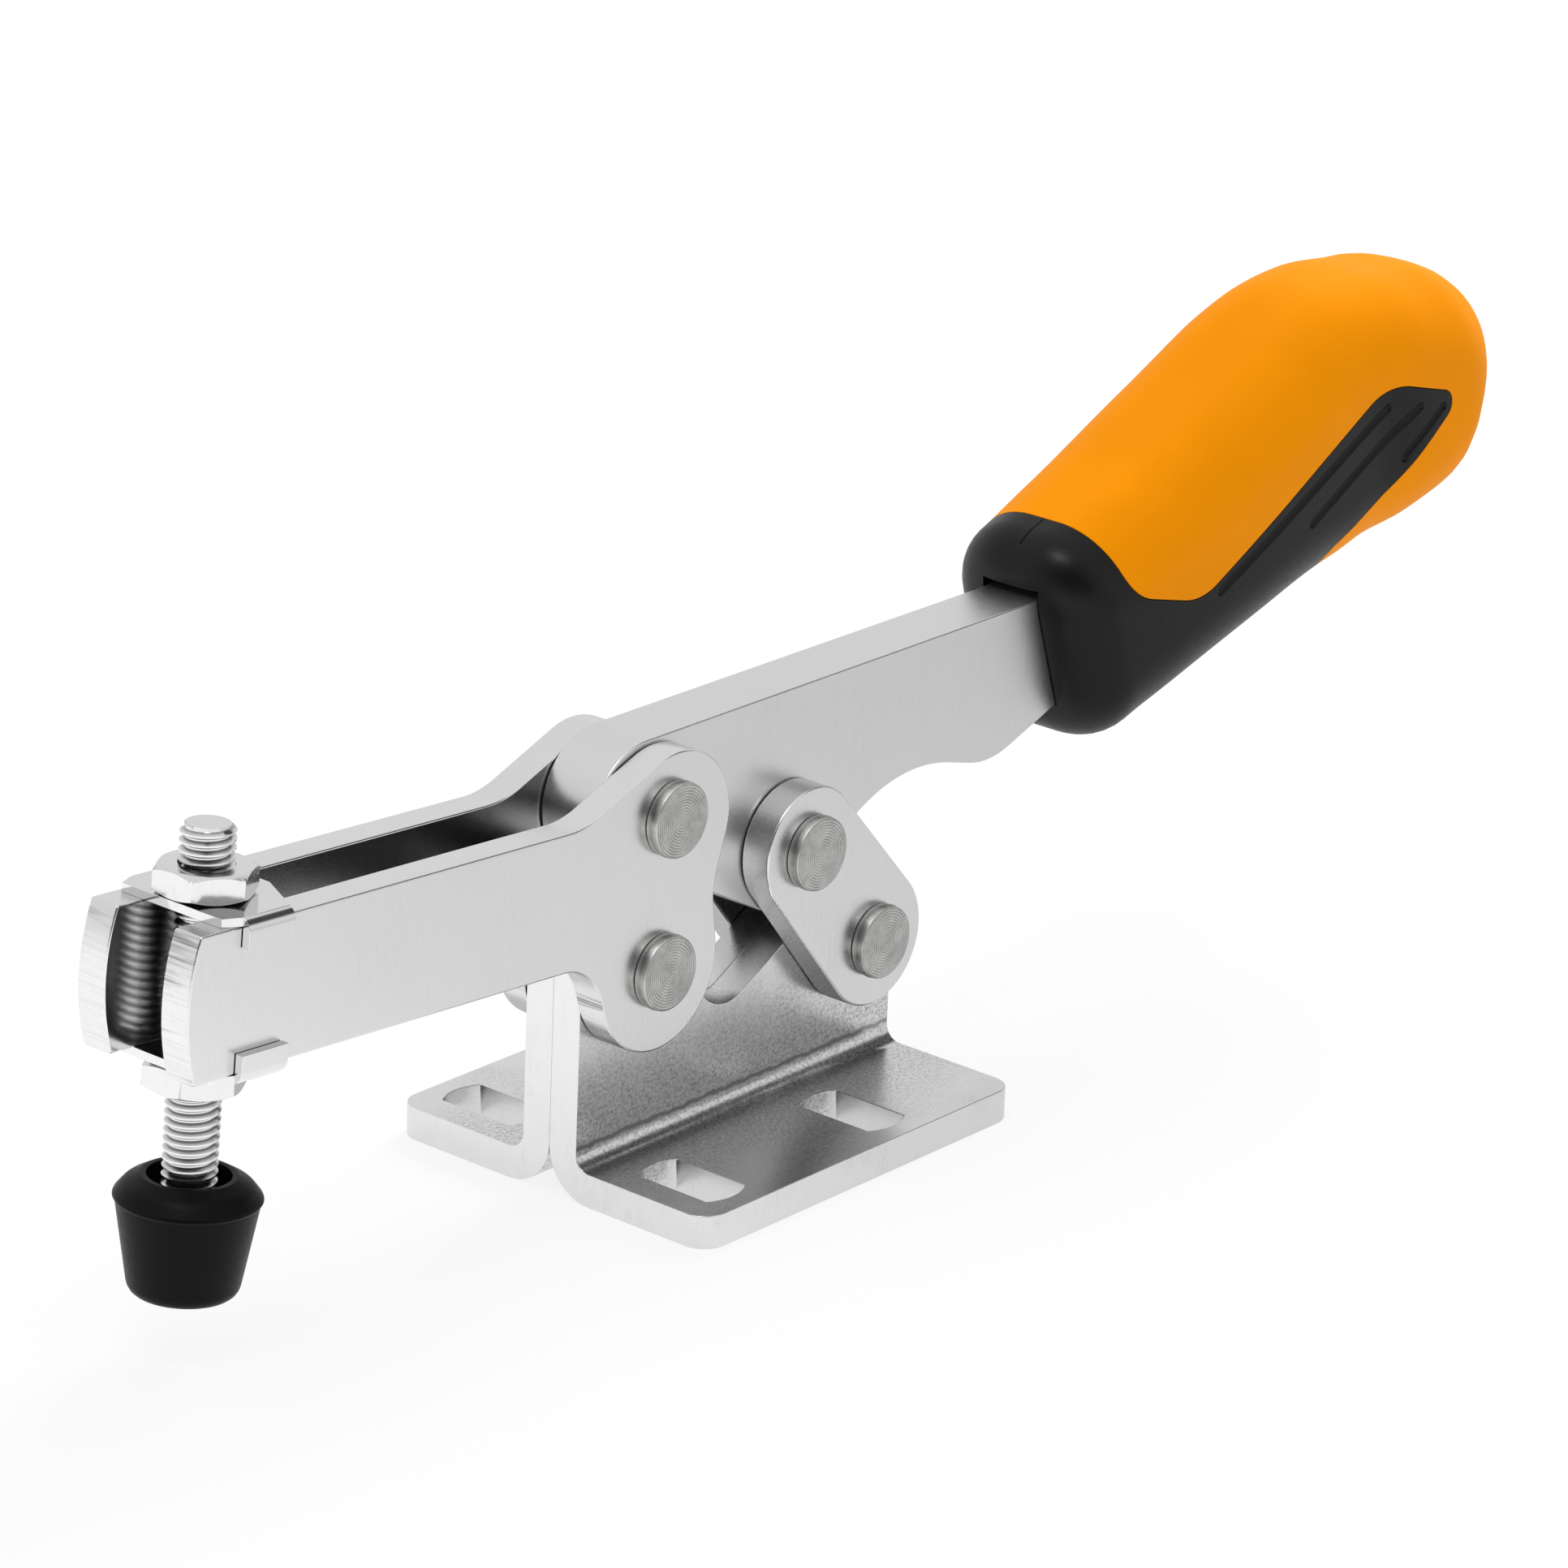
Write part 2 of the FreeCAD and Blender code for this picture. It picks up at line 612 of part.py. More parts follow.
def make_clip(name, frame):
    """Clip washer: a plate across the arm with a tab bent over each side."""
    body = make_body(name, frame)
    plate = make_sketch(body, "plate", "XY_Plane")
    front = S["clip_front_width"] / 2
    tail = S["clip_tail_width"] / 2
    draw_outline(plate, "clip", [
        corner("frontnear", -S["clip_ahead"], -front),
        corner("earnear", -S["clip_tab_ahead"], -CLIP_INSIDE),
        corner("rearnear", S["clip_tab_behind"], -CLIP_INSIDE),
        corner("tailnear", S["clip_tail"], -tail),
        corner("tailfar", S["clip_tail"], tail),
        corner("rearfar", S["clip_tab_behind"], CLIP_INSIDE),
        corner("earfar", -S["clip_tab_ahead"], CLIP_INSIDE),
        corner("frontfar", -S["clip_ahead"], front),
    ])
    add_hole(plate, "clip_bore", 0.0, 0.0, SCREW_HOLE)
    pad(body, plate, "clip_gauge")
    put("clip_tab_length", S["clip_tab_ahead"] + S["clip_tab_behind"])
    put("clip_tab_start", -S["clip_tab_ahead"])
    bend = S["clip_bend"]
    root = CLIP_INSIDE - S["clip_gauge"]
    for side in (-1, 1):
        tag = "tab" + ("n" if side < 0 else "f")
        tab = make_sketch(body, tag, "YZ_Plane")
        tab.AttachmentOffset = FreeCAD.Placement(V(0, 0, -S["clip_tab_ahead"]), FreeCAD.Rotation())
        tab.setExpression("AttachmentOffset.Base.z", "Sizes.clip_tab_start")
        outline = [
            corner("foot", side * CLIP_INSIDE, -S["clip_tab_drop"]),
            corner("toe", side * CLIP_OUTSIDE, -S["clip_tab_drop"]),
            rounded("knee", side * (CLIP_OUTSIDE - bend), S["clip_gauge"] - bend, bend),
            corner("crown", side * root, S["clip_gauge"]),
            corner("root", side * root, 0.0),
            corner("inner", side * CLIP_INSIDE, 0.0),
        ]
        if side < 0:
            outline.reverse()
        draw_outline(tab, tag, outline)
        pad(body, tab, "clip_tab_length")
    return body


def make_nut(name, frame):
    """Thin hexagon nut."""
    body = make_body(name, frame)
    sketch = make_sketch(body, "hexagon", "XY_Plane")
    to_corner = S["nut_flats"] / math.sqrt(3)
    points = []
    for i in range(6):
        angle = math.radians(30 + 60 * i)
        points.append(corner("p%d" % i, to_corner * math.cos(angle), to_corner * math.sin(angle)))
    draw_outline(sketch, "nut", points)
    add_hole(sketch, "nut_bore", 0.0, 0.0, SCREW_HOLE)
    pad(body, sketch, "nut_height")
    return body


SCREW_SEAT = S["cap_top"] + S["cap_mouth_depth"]
SCREW_END = SCREW_SEAT + S["screw_head_height"]


def make_screw():
    """Clamping screw: a threaded shank and the head that sits in the cap."""
    body = make_body("clamping_screw", SPINDLE_FRAME)
    sketch = make_sketch(body, "profile", "XZ_Plane")
    head = S["cap_mouth"] - S["running_fit"]
    shank = S["screw_radius"]
    draw_outline(sketch, "screw", [
        corner("heel", 0.0, -SCREW_END),
        corner("headlow", head, -SCREW_END),
        corner("headtop", head, -SCREW_SEAT),
        corner("neck", shank, -SCREW_SEAT),
        corner("shoulder", shank, S["spindle_top"] - S["screw_chamfer"]),
        corner("rim", shank - S["screw_chamfer"], S["spindle_top"]),
        corner("tip", 0.0, S["spindle_top"]),
    ])
    revolve(body, sketch)
    return body


def make_cap():
    """Rubber cap pushed over the screw's head."""
    body = make_body("rubber_cap", SPINDLE_FRAME)
    sketch = make_sketch(body, "profile", "XZ_Plane")
    top = -S["cap_top"]
    foot = top - S["cap_height"]
    draw_outline(sketch, "cap", [
        corner("floor", 0.0, foot),
        corner("toe", S["cap_foot"] - S["cap_foot_bevel"], foot),
        corner("heel", S["cap_foot"], foot + S["cap_foot_bevel"]),
        corner("shoulder", S["cap_shoulder"], top - S["cap_shoulder_drop"]),
        corner("brim", S["cap_brim"], top),
        corner("mouth", S["cap_mouth"], top),
        corner("seat", S["cap_mouth"], -SCREW_END),
        corner("bed", 0.0, -SCREW_END),
    ])
    revolve(body, sketch)
    return body


def form_at(station):
    """Top, bottom, half width and slant share of the handle's form at a station."""
    share = station / S["handle_length"]
    for first, last in zip(HANDLE_FORM, HANDLE_FORM[1:]):
        if share <= last[0]:
            way = (share - first[0]) / (last[0] - first[0])
            return [a + way * (b - a) for a, b in zip(first[1:], last[1:])]
    return HANDLE_FORM[-1][1:]


def end_inset(depth, radius):
    """How far an end round draws the surface in, at a depth from the end face."""
    if depth >= radius:
        return 0.0
    return radius - math.sqrt(radius ** 2 - (radius - depth) ** 2)


def handle_stations():
    """Stations of the handle's sections: the two end rounds and the form between them."""
    front = S["front_round"]
    rear = S["rear_round"]
    length = S["handle_length"]
    depths = [1.0 - math.cos(math.radians(step)) for step in ROUND_STEPS]
    between = [row[0] * length for row in HANDLE_FORM]
    stations = [front * depth for depth in depths]
    stations.append(front)
    for station in between:
        if front + SECTION_APART < station < length - rear - SECTION_APART:
            stations.append(station)
    stations.append(length - rear)
    stations.extend(length - rear * depth for depth in reversed(depths))
    return stations


def make_handle_form():
    """Whole outer form of the handle, lofted along its axis."""
    body = make_body("handle_form", HANDLE_FRAME)
    sketches = []
    for i, station in enumerate(handle_stations()):
        top, bottom, half, share = form_at(station)
        inset = (end_inset(station, S["front_round"])
                 + end_inset(S["handle_length"] - station, S["rear_round"]))
        angle = math.atan(S["handle_slant"] * share)
        middle = (top + bottom) / 2
        wide = half - inset
        tall = ((top - bottom) / 2 - inset) / math.cos(angle)
        radius = min(S["section_round"], SECTION_CORNER * min(wide, tall))
        tag = "section%d" % i
        sketch = make_sketch(body, tag, "YZ_Plane")
        turn = FreeCAD.Rotation(V(1, 0, 0), math.degrees(angle))
        sketch.AttachmentOffset = FreeCAD.Placement(V(0, middle, station), turn)
        put(tag + "_s", station)
        put(tag + "_m", middle)
        put(tag + "_a", math.degrees(angle))
        sketch.setExpression("AttachmentOffset.Base.z", "Sizes." + tag + "_s")
        sketch.setExpression("AttachmentOffset.Base.y", "Sizes." + tag + "_m")
        sketch.setExpression("AttachmentOffset.Rotation.Angle", "Sizes." + tag + "_a")
        draw_outline(sketch, tag, [
            rounded("a", radius - wide, radius - tall, radius),
            rounded("b", wide - radius, radius - tall, radius),
            rounded("c", wide - radius, tall - radius, radius),
            rounded("d", radius - wide, tall - radius, radius),
        ])
        sketches.append(sketch)
    loft = body.newObject("PartDesign::AdditiveLoft", "handle_loft")
    loft.Profile = sketches[0]
    loft.Sections = sketches[1:]
    loft.Ruled = True
    return body


def make_dark_region():
    """Prism of the dark moulding's outline, wider than the handle."""
    body = make_body("dark_region", HANDLE_FRAME)
    sketch = make_sketch(body, "outline", "XZ_Plane")
    stations = [corner("lowfront", -DARK_CLEAR, -2 * DARK_CLEAR)]
    stations.append(corner("lowrear", DARK_OUTLINE[0][1] - DARK_OUTLINE[0][3], -2 * DARK_CLEAR))
    for label, along, up, radius, turn in DARK_OUTLINE:
        stations.append(rounded(label, along, up, radius, turn))
    stations.append(corner("toprear", DARK_TOP, DARK_CLEAR))
    stations.append(corner("topfront", -DARK_CLEAR, DARK_CLEAR))
    draw_outline(sketch, "dark", stations)
    put("dark_width", 2 * DARK_CLEAR)
    pad(body, sketch, "dark_width", middle=True)
    return body


def make_tang_cavity():
    """Room for the tang in the handle, open to the front."""
    box = DOC.addObject("Part::Box", "tang_cavity")
    put("cavity_length", S["tang_depth"] + S["tang_play"] + CAVITY_AHEAD)
    put("cavity_width", 2 * (S["sheet_gauge"] + S["tang_play"]))
    put("cavity_height", S["collar_slot_top"] - S["tang_bottom"] + S["running_fit"])
    box.setExpression("Length", "Sizes.cavity_length")
    box.setExpression("Width", "Sizes.cavity_width")
    box.setExpression("Height", "Sizes.cavity_height")
    half = S["sheet_gauge"] + S["tang_play"]
    box.Placement = shift(HANDLE_FRAME, -CAVITY_AHEAD, -half, S["tang_bottom"] - S["running_fit"])
    return box


def boolean(kind, name, base, tool):
    """Part boolean of two objects."""
    result = DOC.addObject(kind, name)
    result.Base = base
    result.Tool = tool
    return result


PIECES = []
for half_side in (-1, 1):
    PIECES.append(make_bracket(half_side))
    PIECES.append(make_arm_plate(half_side))
    PIECES.append(make_link_plate(half_side))
PIECES.append(make_lever())
ARM_RIVET = side_placement(ARM_PIVOT, 0.0)
CRANK_RIVET = side_placement(CRANK_PIVOT, 0.0)
PIN_RIVET = side_placement(PIN, 0.0)
LINK_RIVET = side_placement(LINK_PIVOT, 0.0)
PIECES.append(make_rivet("arm_pivot_rivet", ARM_RIVET))
PIECES.append(make_rivet("lever_pivot_rivet", CRANK_RIVET))
PIECES.append(make_rivet("link_lever_rivet", PIN_RIVET))
PIECES.append(make_rivet("link_base_rivet", LINK_RIVET))
PIECES.append(make_bush("arm_pivot_bush", ARM_RIVET))
PIECES.append(make_bush("lever_pivot_bush", CRANK_RIVET))
PIECES.append(make_bush("link_base_bush", LINK_RIVET))
PIECES.append(make_clip("upper_clip_washer", UPPER_CLIP_FRAME))
PIECES.append(make_clip("lower_clip_washer", LOWER_CLIP_FRAME))
PIECES.append(make_nut("upper_nut", shift(UPPER_CLIP_FRAME, 0, 0, S["clip_gauge"])))
PIECES.append(make_nut("lower_nut", shift(LOWER_CLIP_FRAME, 0, 0, S["clip_gauge"])))
PIECES.append(make_screw())
PIECES.append(make_cap())
DOC.recompute()

handle_form = make_handle_form()
dark_region = make_dark_region()
tang_cavity = make_tang_cavity()
DOC.recompute()
dark_whole = boolean("Part::Common", "handle_core_whole", handle_form, dark_region)
light_whole = boolean("Part::Cut", "handle_grip_whole", handle_form, dark_region)
PIECES.append(boolean("Part::Cut", "handle_core", dark_whole, tang_cavity))
PIECES.append(boolean("Part::Cut", "handle_grip", light_whole, tang_cavity))
DOC.recompute()

for item in DOC.Objects:
    if "Invalid" in item.State or "Error" in item.State:
        raise RuntimeError("%s did not compute: %s" % (item.Name, item.State))
os.makedirs("parts", exist_ok=True)
for piece in PIECES:
    if piece.Shape.isNull() or not piece.Shape.isValid() or len(piece.Shape.Solids) != 1:
        raise RuntimeError("%s is not one valid solid" % piece.Label)
for piece in PIECES:
    piece.Shape.exportStep("parts/%s.step" % piece.Label)
    print("%-20s %10.1f mm3" % (piece.Label, piece.Shape.Volume))
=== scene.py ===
"""Looks of a horizontal toggle clamp: plated plates, turned rivets, thread, rubber and handle."""

import json
import math

import bpy
from mathutils import Matrix, Vector


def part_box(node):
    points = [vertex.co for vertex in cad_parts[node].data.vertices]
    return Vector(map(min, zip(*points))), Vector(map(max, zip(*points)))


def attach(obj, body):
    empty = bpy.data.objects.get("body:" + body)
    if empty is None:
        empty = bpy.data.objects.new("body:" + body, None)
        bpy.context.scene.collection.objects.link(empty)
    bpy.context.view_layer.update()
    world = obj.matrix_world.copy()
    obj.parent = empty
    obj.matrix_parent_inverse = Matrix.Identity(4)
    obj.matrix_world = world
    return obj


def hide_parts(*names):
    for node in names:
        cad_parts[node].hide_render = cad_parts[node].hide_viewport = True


bl_info = {
    "name": "Toggle Clamp",
    "version": (1, 0, 0),
    "blender": (4, 5, 0),
    "location": "View3D > Sidebar > Clamp",
    "description": "Builds the plated, turned and moulded pieces of a toggle clamp and its studio",
    "category": "Object",
}

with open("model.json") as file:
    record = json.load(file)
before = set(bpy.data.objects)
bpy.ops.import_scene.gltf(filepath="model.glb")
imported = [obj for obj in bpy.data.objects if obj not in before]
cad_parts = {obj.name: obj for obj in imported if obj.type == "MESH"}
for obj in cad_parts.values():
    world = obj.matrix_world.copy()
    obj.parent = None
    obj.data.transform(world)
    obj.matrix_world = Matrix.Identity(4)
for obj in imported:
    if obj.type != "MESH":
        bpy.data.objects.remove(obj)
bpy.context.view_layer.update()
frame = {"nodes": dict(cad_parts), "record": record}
NODES = frame["nodes"]
MM = 0.001

# Arm and handle frames at rest, in millimetres and degrees of the clamp's side view.
ARM_PIVOT = (-12.62, 26.87)
ARM_TILT = 3.62
SPINDLE_REACH = 64.7
HANDLE_ROOT = (60.71, 44.624)
HANDLE_RISE = 19.492

# Handle form at shares of its length: share, top, bottom, half width, share of the end slant.
HANDLE_LENGTH = 83.15
HANDLE_SLANT = 0.4
FRONT_ROUND = 6.25
REAR_ROUND = 10.5
SECTION_ROUND = 9.6
# Towards the rear the section's corners grow rounder, from a share of the length on.
REAR_SHARE = 0.6
REAR_GROWTH = 4.0
CORNER_SHARE = 0.82
CORNER_GAIN = 0.16
HANDLE_FORM = [
    (0.0, 14.2, -14.2, 10.7, 0.0),
    (0.2, 13.9, -13.9, 12.4, 0.0),
    (0.45, 14.9, -14.4, 13.2, 0.0),
    (0.657, 16.3, -16.2, 13.3, 0.344),
    (0.778, 14.2, -18.1, 14.4, 0.404),
    (0.878, 10.4, -18.9, 14.8, 0.576),
    (1.0, 7.2, -15.8, 15.0, 1.04),
]

# Dark moulding in the handle's side view: centre along, centre up, radius, turn of the outline.
DARK_OUTLINE = [
    (46.9, -13.7, 4.0, -1),
    (48.3, 31.6, 40.0, 1),
    (67.2, -1.9, 1.9, 1),
    (57.0, -4.6, 9.8, 1),
    (21.0, 7.0, 8.0, -1),
    (14.9, 9.2, 6.5, -1),
]
DARK_TOP = 8.2
DARK_CLEAR = 30.0
# Gap between the orange and the dark moulding.
SEAM = 0.12

# Grip grooves of the dark tongues in the same view: start and end, along and up.
GRIP_GROOVES = [
    ((23.0, -2.1), (58.0, 2.9)),
    ((41.0, -3.5), (63.3, 0.1)),
    ((59.5, -5.0), (67.3, -2.2)),
]

# Middle of the brackets' inner bend in the end view, round which shade is painted: distance from
# the middle plane, and height.
BEND_OUT = 5.0
BEND_UP = 5.0
# Height of the painted dark reflection line above the middle of the bend.
REFLECTION_LINE_UP = 1.4

# How far out of the side a groove's cutter has its middle, as a share of its radius.
GROOVE_SINK = 0.35

# Pocket of the lever's tang in the collar, and the parting line on top of it: two corners each.
TANG_POCKET = ((-20.0, -4.15, -6.62), (45.15, 4.15, 9.6))
PARTING_LINE = ((-1.0, -0.08, 13.4), (9.0, 0.08, 18.0))

# Polished inner faces of the arm's channel: distances from the middle plane up to which the polish
# is full and at which it ends, and the share of the roughness that it leaves.
CHANNEL_FACE = 4.2
CHANNEL_EDGE = 4.4
CHANNEL_POLISH = 0.60


def body_of(node):
    """Body that a node belongs to."""
    for body, members in frame["record"]["behaviour"]["bodies"].items():
        if node in members:
            return body
    raise ValueError("no body holds " + node)


def side_frame(origin, rise):
    """Frame in the side view, in millimetres, with +X leaning up by the rise in degrees."""
    place = Matrix.Translation(Vector((origin[0], 0.0, origin[1])))
    return place @ Matrix.Rotation(-math.radians(rise), 4, "Y")


HANDLE_FRAME = side_frame(HANDLE_ROOT, HANDLE_RISE)
ARM_FRAME = side_frame(ARM_PIVOT, -ARM_TILT)
SPINDLE_FRAME = ARM_FRAME @ Matrix.Translation((-SPINDLE_REACH, 0.0, 0.0))


class ClampSizes(bpy.types.PropertyGroup):
    """Small sizes that the solids leave to the finish."""

    plate_edge: bpy.props.FloatProperty(
        name="Plate edge", description="Rounding of the stamped plate edges",
        default=0.3 * MM, min=0.0, unit="LENGTH")
    fine_edge: bpy.props.FloatProperty(
        name="Fine edge", description="Rounding of bushes and washers",
        default=0.18 * MM, min=0.0, unit="LENGTH")
    head_edge: bpy.props.FloatProperty(
        name="Rivet head edge", description="Rounding round the face of a rivet head",
        default=0.32 * MM, min=0.0, unit="LENGTH")
    thread_pitch: bpy.props.FloatProperty(
        name="Thread pitch", description="Pitch of the clamping screw",
        default=1.0 * MM, min=0.1 * MM, unit="LENGTH")
    thread_depth: bpy.props.FloatProperty(
        name="Thread depth", description="Depth of the clamping screw's thread",
        default=0.58 * MM, min=0.01 * MM, unit="LENGTH")
    groove_radius: bpy.props.FloatProperty(
        name="Grip groove", description="Radius of the cutters of the grip grooves",
        default=0.75 * MM, min=0.1 * MM, unit="LENGTH")


class ClampColours(bpy.types.PropertyGroup):
    """Colours of the finishes."""

    zinc: bpy.props.FloatVectorProperty(
        name="Zinc plate", description="Plates and lever", subtype="COLOR",
        default=(0.80, 0.80, 0.80), min=0.0, max=1.0)
    steel: bpy.props.FloatVectorProperty(
        name="Turned steel", description="Rivets and bushes", subtype="COLOR",
        default=(0.49, 0.49, 0.48), min=0.0, max=1.0)
    bright: bpy.props.FloatVectorProperty(
        name="Bright zinc", description="Screw, nuts and washers", subtype="COLOR",
        default=(0.78, 0.78, 0.78), min=0.0, max=1.0)
    orange: bpy.props.FloatVectorProperty(
        name="Grip", description="Orange moulding of the handle", subtype="COLOR",
        default=(0.84, 0.272, 0.0004), min=0.0, max=1.0)
    black: bpy.props.FloatVectorProperty(
        name="Core", description="Black moulding of the handle", subtype="COLOR",
        default=(0.005, 0.005, 0.005), min=0.0, max=1.0)
    rubber: bpy.props.FloatVectorProperty(
        name="Cap", description="Rubber cap of the screw", subtype="COLOR",
        default=(0.003, 0.003, 0.003), min=0.0, max=1.0)


def sizes():
    """Sizes of the scene."""
    return bpy.context.scene.clamp_sizes


def colours():
    """Colours of the scene."""
    return bpy.context.scene.clamp_colours


def alone(obj):
    """Select one object only and make it active."""
    bpy.ops.object.select_all(action="DESELECT")
    obj.select_set(True)
    bpy.context.view_layer.objects.active = obj


def in_edit(obj):
    """Enter edit mode with the whole mesh selected."""
    alone(obj)
    bpy.ops.object.mode_set(mode="EDIT")
    bpy.ops.mesh.select_all(action="SELECT")


def out_of_edit():
    """Leave edit mode."""
    bpy.ops.object.mode_set(mode="OBJECT")


def apply_all(obj):
    """Apply the modifiers of a piece in their order."""
    alone(obj)
    for modifier in list(obj.modifiers):
        bpy.ops.object.modifier_apply(modifier=modifier.name)


def clean_copy(node, name):
    """Copy of a node's solid with its loose triangles joined and its flats made whole."""
    source = NODES[node]
    obj = source.copy()
    obj.data = source.data.copy()
    obj.name = name
    obj.data.name = name
    obj.parent = None
    bpy.context.scene.collection.objects.link(obj)
    obj.matrix_world = Matrix.Identity(4)
    in_edit(obj)
    bpy.ops.mesh.remove_doubles(threshold=0.001 * MM)
    bpy.ops.mesh.dissolve_limited(angle_limit=math.radians(0.5))
    out_of_edit()
    return obj


def smooth(obj, angle=40.0):
    """Smooth shading with sharp folds kept and flats held flat."""
    alone(obj)
    bpy.ops.object.shade_smooth_by_angle(angle=math.radians(angle))
    weigh = obj.modifiers.new("flats", "WEIGHTED_NORMAL")
    weigh.keep_sharp = True
    apply_all(obj)


def round_edges(obj, width, segments=3, angle=25.0):
    """Round the sharp edges of a piece."""
    bevel = obj.modifiers.new("edges", "BEVEL")
    bevel.width = width
    bevel.segments = segments
    bevel.limit_method = "ANGLE"
    bevel.angle_limit = math.radians(angle)
    bevel.use_clamp_overlap = True
    apply_all(obj)
    smooth(obj)


def settle(obj, node, material):
    """Give a finished piece its material, and let it stand for a node."""
    obj.data.materials.clear()
    obj.data.materials.append(material)
    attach(obj, body_of(node))
    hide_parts(node)


def wrapped(name, rows, around, place):
    """Closed skin: a circle extruded row by row, whose point at (row, column) the place gives."""
    bpy.ops.object.select_all(action="DESELECT")
    bpy.ops.mesh.primitive_circle_add(vertices=around, radius=1.0)
    obj = bpy.context.active_object
    obj.name = name
    obj.data.name = name
    in_edit(obj)
    for _ in range(rows - 1):
        bpy.ops.mesh.extrude_region_move(TRANSFORM_OT_translate={"value": (0.0, 0.0, 1.0)})
    out_of_edit()
    for vertex in obj.data.vertices:
        turn = math.atan2(vertex.co.y, vertex.co.x) / (2 * math.pi)
        vertex.co = place(round(vertex.co.z), round(turn * around) % around)
    close_up(obj)
    return obj


def close_up(obj):
    """Merge doubles, fill the open ends and turn every face outwards."""
    in_edit(obj)
    bpy.ops.mesh.remove_doubles(threshold=0.002 * MM)
    bpy.ops.mesh.select_all(action="DESELECT")
    bpy.ops.mesh.select_non_manifold()
    if obj.data.total_edge_sel:
        bpy.ops.mesh.edge_face_add()
    bpy.ops.mesh.select_all(action="SELECT")
    bpy.ops.mesh.normals_make_consistent(inside=False)
    out_of_edit()


def outlined(name, points):
    """Line through points in millimetres, extruded point by point from one vertex."""
    bpy.ops.object.select_all(action="DESELECT")
    bpy.ops.mesh.primitive_plane_add(size=1.0)
    obj = bpy.context.active_object
    obj.name = name
    obj.data.name = name
    in_edit(obj)
    bpy.ops.mesh.merge(type="CENTER")
    here = Vector((0.0, 0.0, 0.0))
    for i, point in enumerate(points):
        step = (Vector(point) - here) * MM
        if i == 0:
            bpy.ops.transform.translate(value=step)
        else:
            bpy.ops.mesh.extrude_region_move(TRANSFORM_OT_translate={"value": step})
        here = Vector(point)
    out_of_edit()
    return obj


def put_in(obj, matrix):
    """Place a mesh made at the origin by a matrix in millimetres."""
    scaled = matrix.copy()
    scaled.translation = matrix.translation * MM
    obj.data.transform(scaled)


def turned(name, profile, matrix, around=96):
    """Turned piece: a profile of radius and height in millimetres, spun about the matrix's Z."""
    obj = outlined(name, [(radius, 0.0, height) for radius, height in profile])
    in_edit(obj)
    bpy.ops.mesh.spin(steps=around, angle=2 * math.pi, center=(0, 0, 0), axis=(0, 0, 1))
    out_of_edit()
    close_up(obj)
    put_in(obj, matrix)
    return obj


def prism(name, outline, reach):
    """Solid over an outline of the handle's side view, as far as the reach on both sides."""
    obj = outlined(name, [(along, -reach, up) for along, up in outline])
    in_edit(obj)
    bpy.ops.mesh.edge_face_add()
    bpy.ops.mesh.extrude_region_move(
        TRANSFORM_OT_translate={"value": (0.0, 2 * reach * MM, 0.0)})
    out_of_edit()
    close_up(obj)
    put_in(obj, HANDLE_FRAME)
    return obj


def block(name, low, high, matrix):
    """Plain block between two corners in millimetres, as a tool for cuts."""
    bpy.ops.object.select_all(action="DESELECT")
    bpy.ops.mesh.primitive_cube_add(size=1.0)
    obj = bpy.context.active_object
    obj.name = name
    low, high = Vector(low), Vector(high)
    size = Matrix.Diagonal((*((high - low) * MM), 1.0))
    obj.data.transform(Matrix.Translation((low + high) / 2 * MM) @ size)
    put_in(obj, matrix)
    return obj


def softened(points, steps=5):
    """Profile whose corners (radius, height, round) are replaced by arcs of their rounds."""
    result = []
    for i, (radius, height, bend) in enumerate(points):
        if bend == 0.0 or i in (0, len(points) - 1):
            result.append((radius, height))
            continue
        here = Vector((radius, height))
        before = Vector(points[i - 1][:2]) - here
        after = Vector(points[i + 1][:2]) - here
        half = before.angle(after) / 2
        reach = min(bend / math.tan(half), before.length / 2, after.length / 2)
        start = here + before.normalized() * reach
        end = here + after.normalized() * reach
        for step in range(steps + 1):
            way = step / steps
            point = start.lerp(here, way).lerp(here.lerp(end, way), way)
            result.append((point.x, point.y))
    return result


def cut(obj, tool, operation):
    """Boolean of a piece with a tool, which is removed afterwards."""
    step = obj.modifiers.new("cut", "BOOLEAN")
    step.operation = operation
    step.object = tool
    step.solver = "EXACT"
    apply_all(obj)
    bpy.data.objects.remove(tool)


# Base colour of a darkened spot, as a share of the zinc's: of the arm's streaks, and of the painted
# shade in the brackets' bend and the thread's root.
DARK_SHARE = 0.2


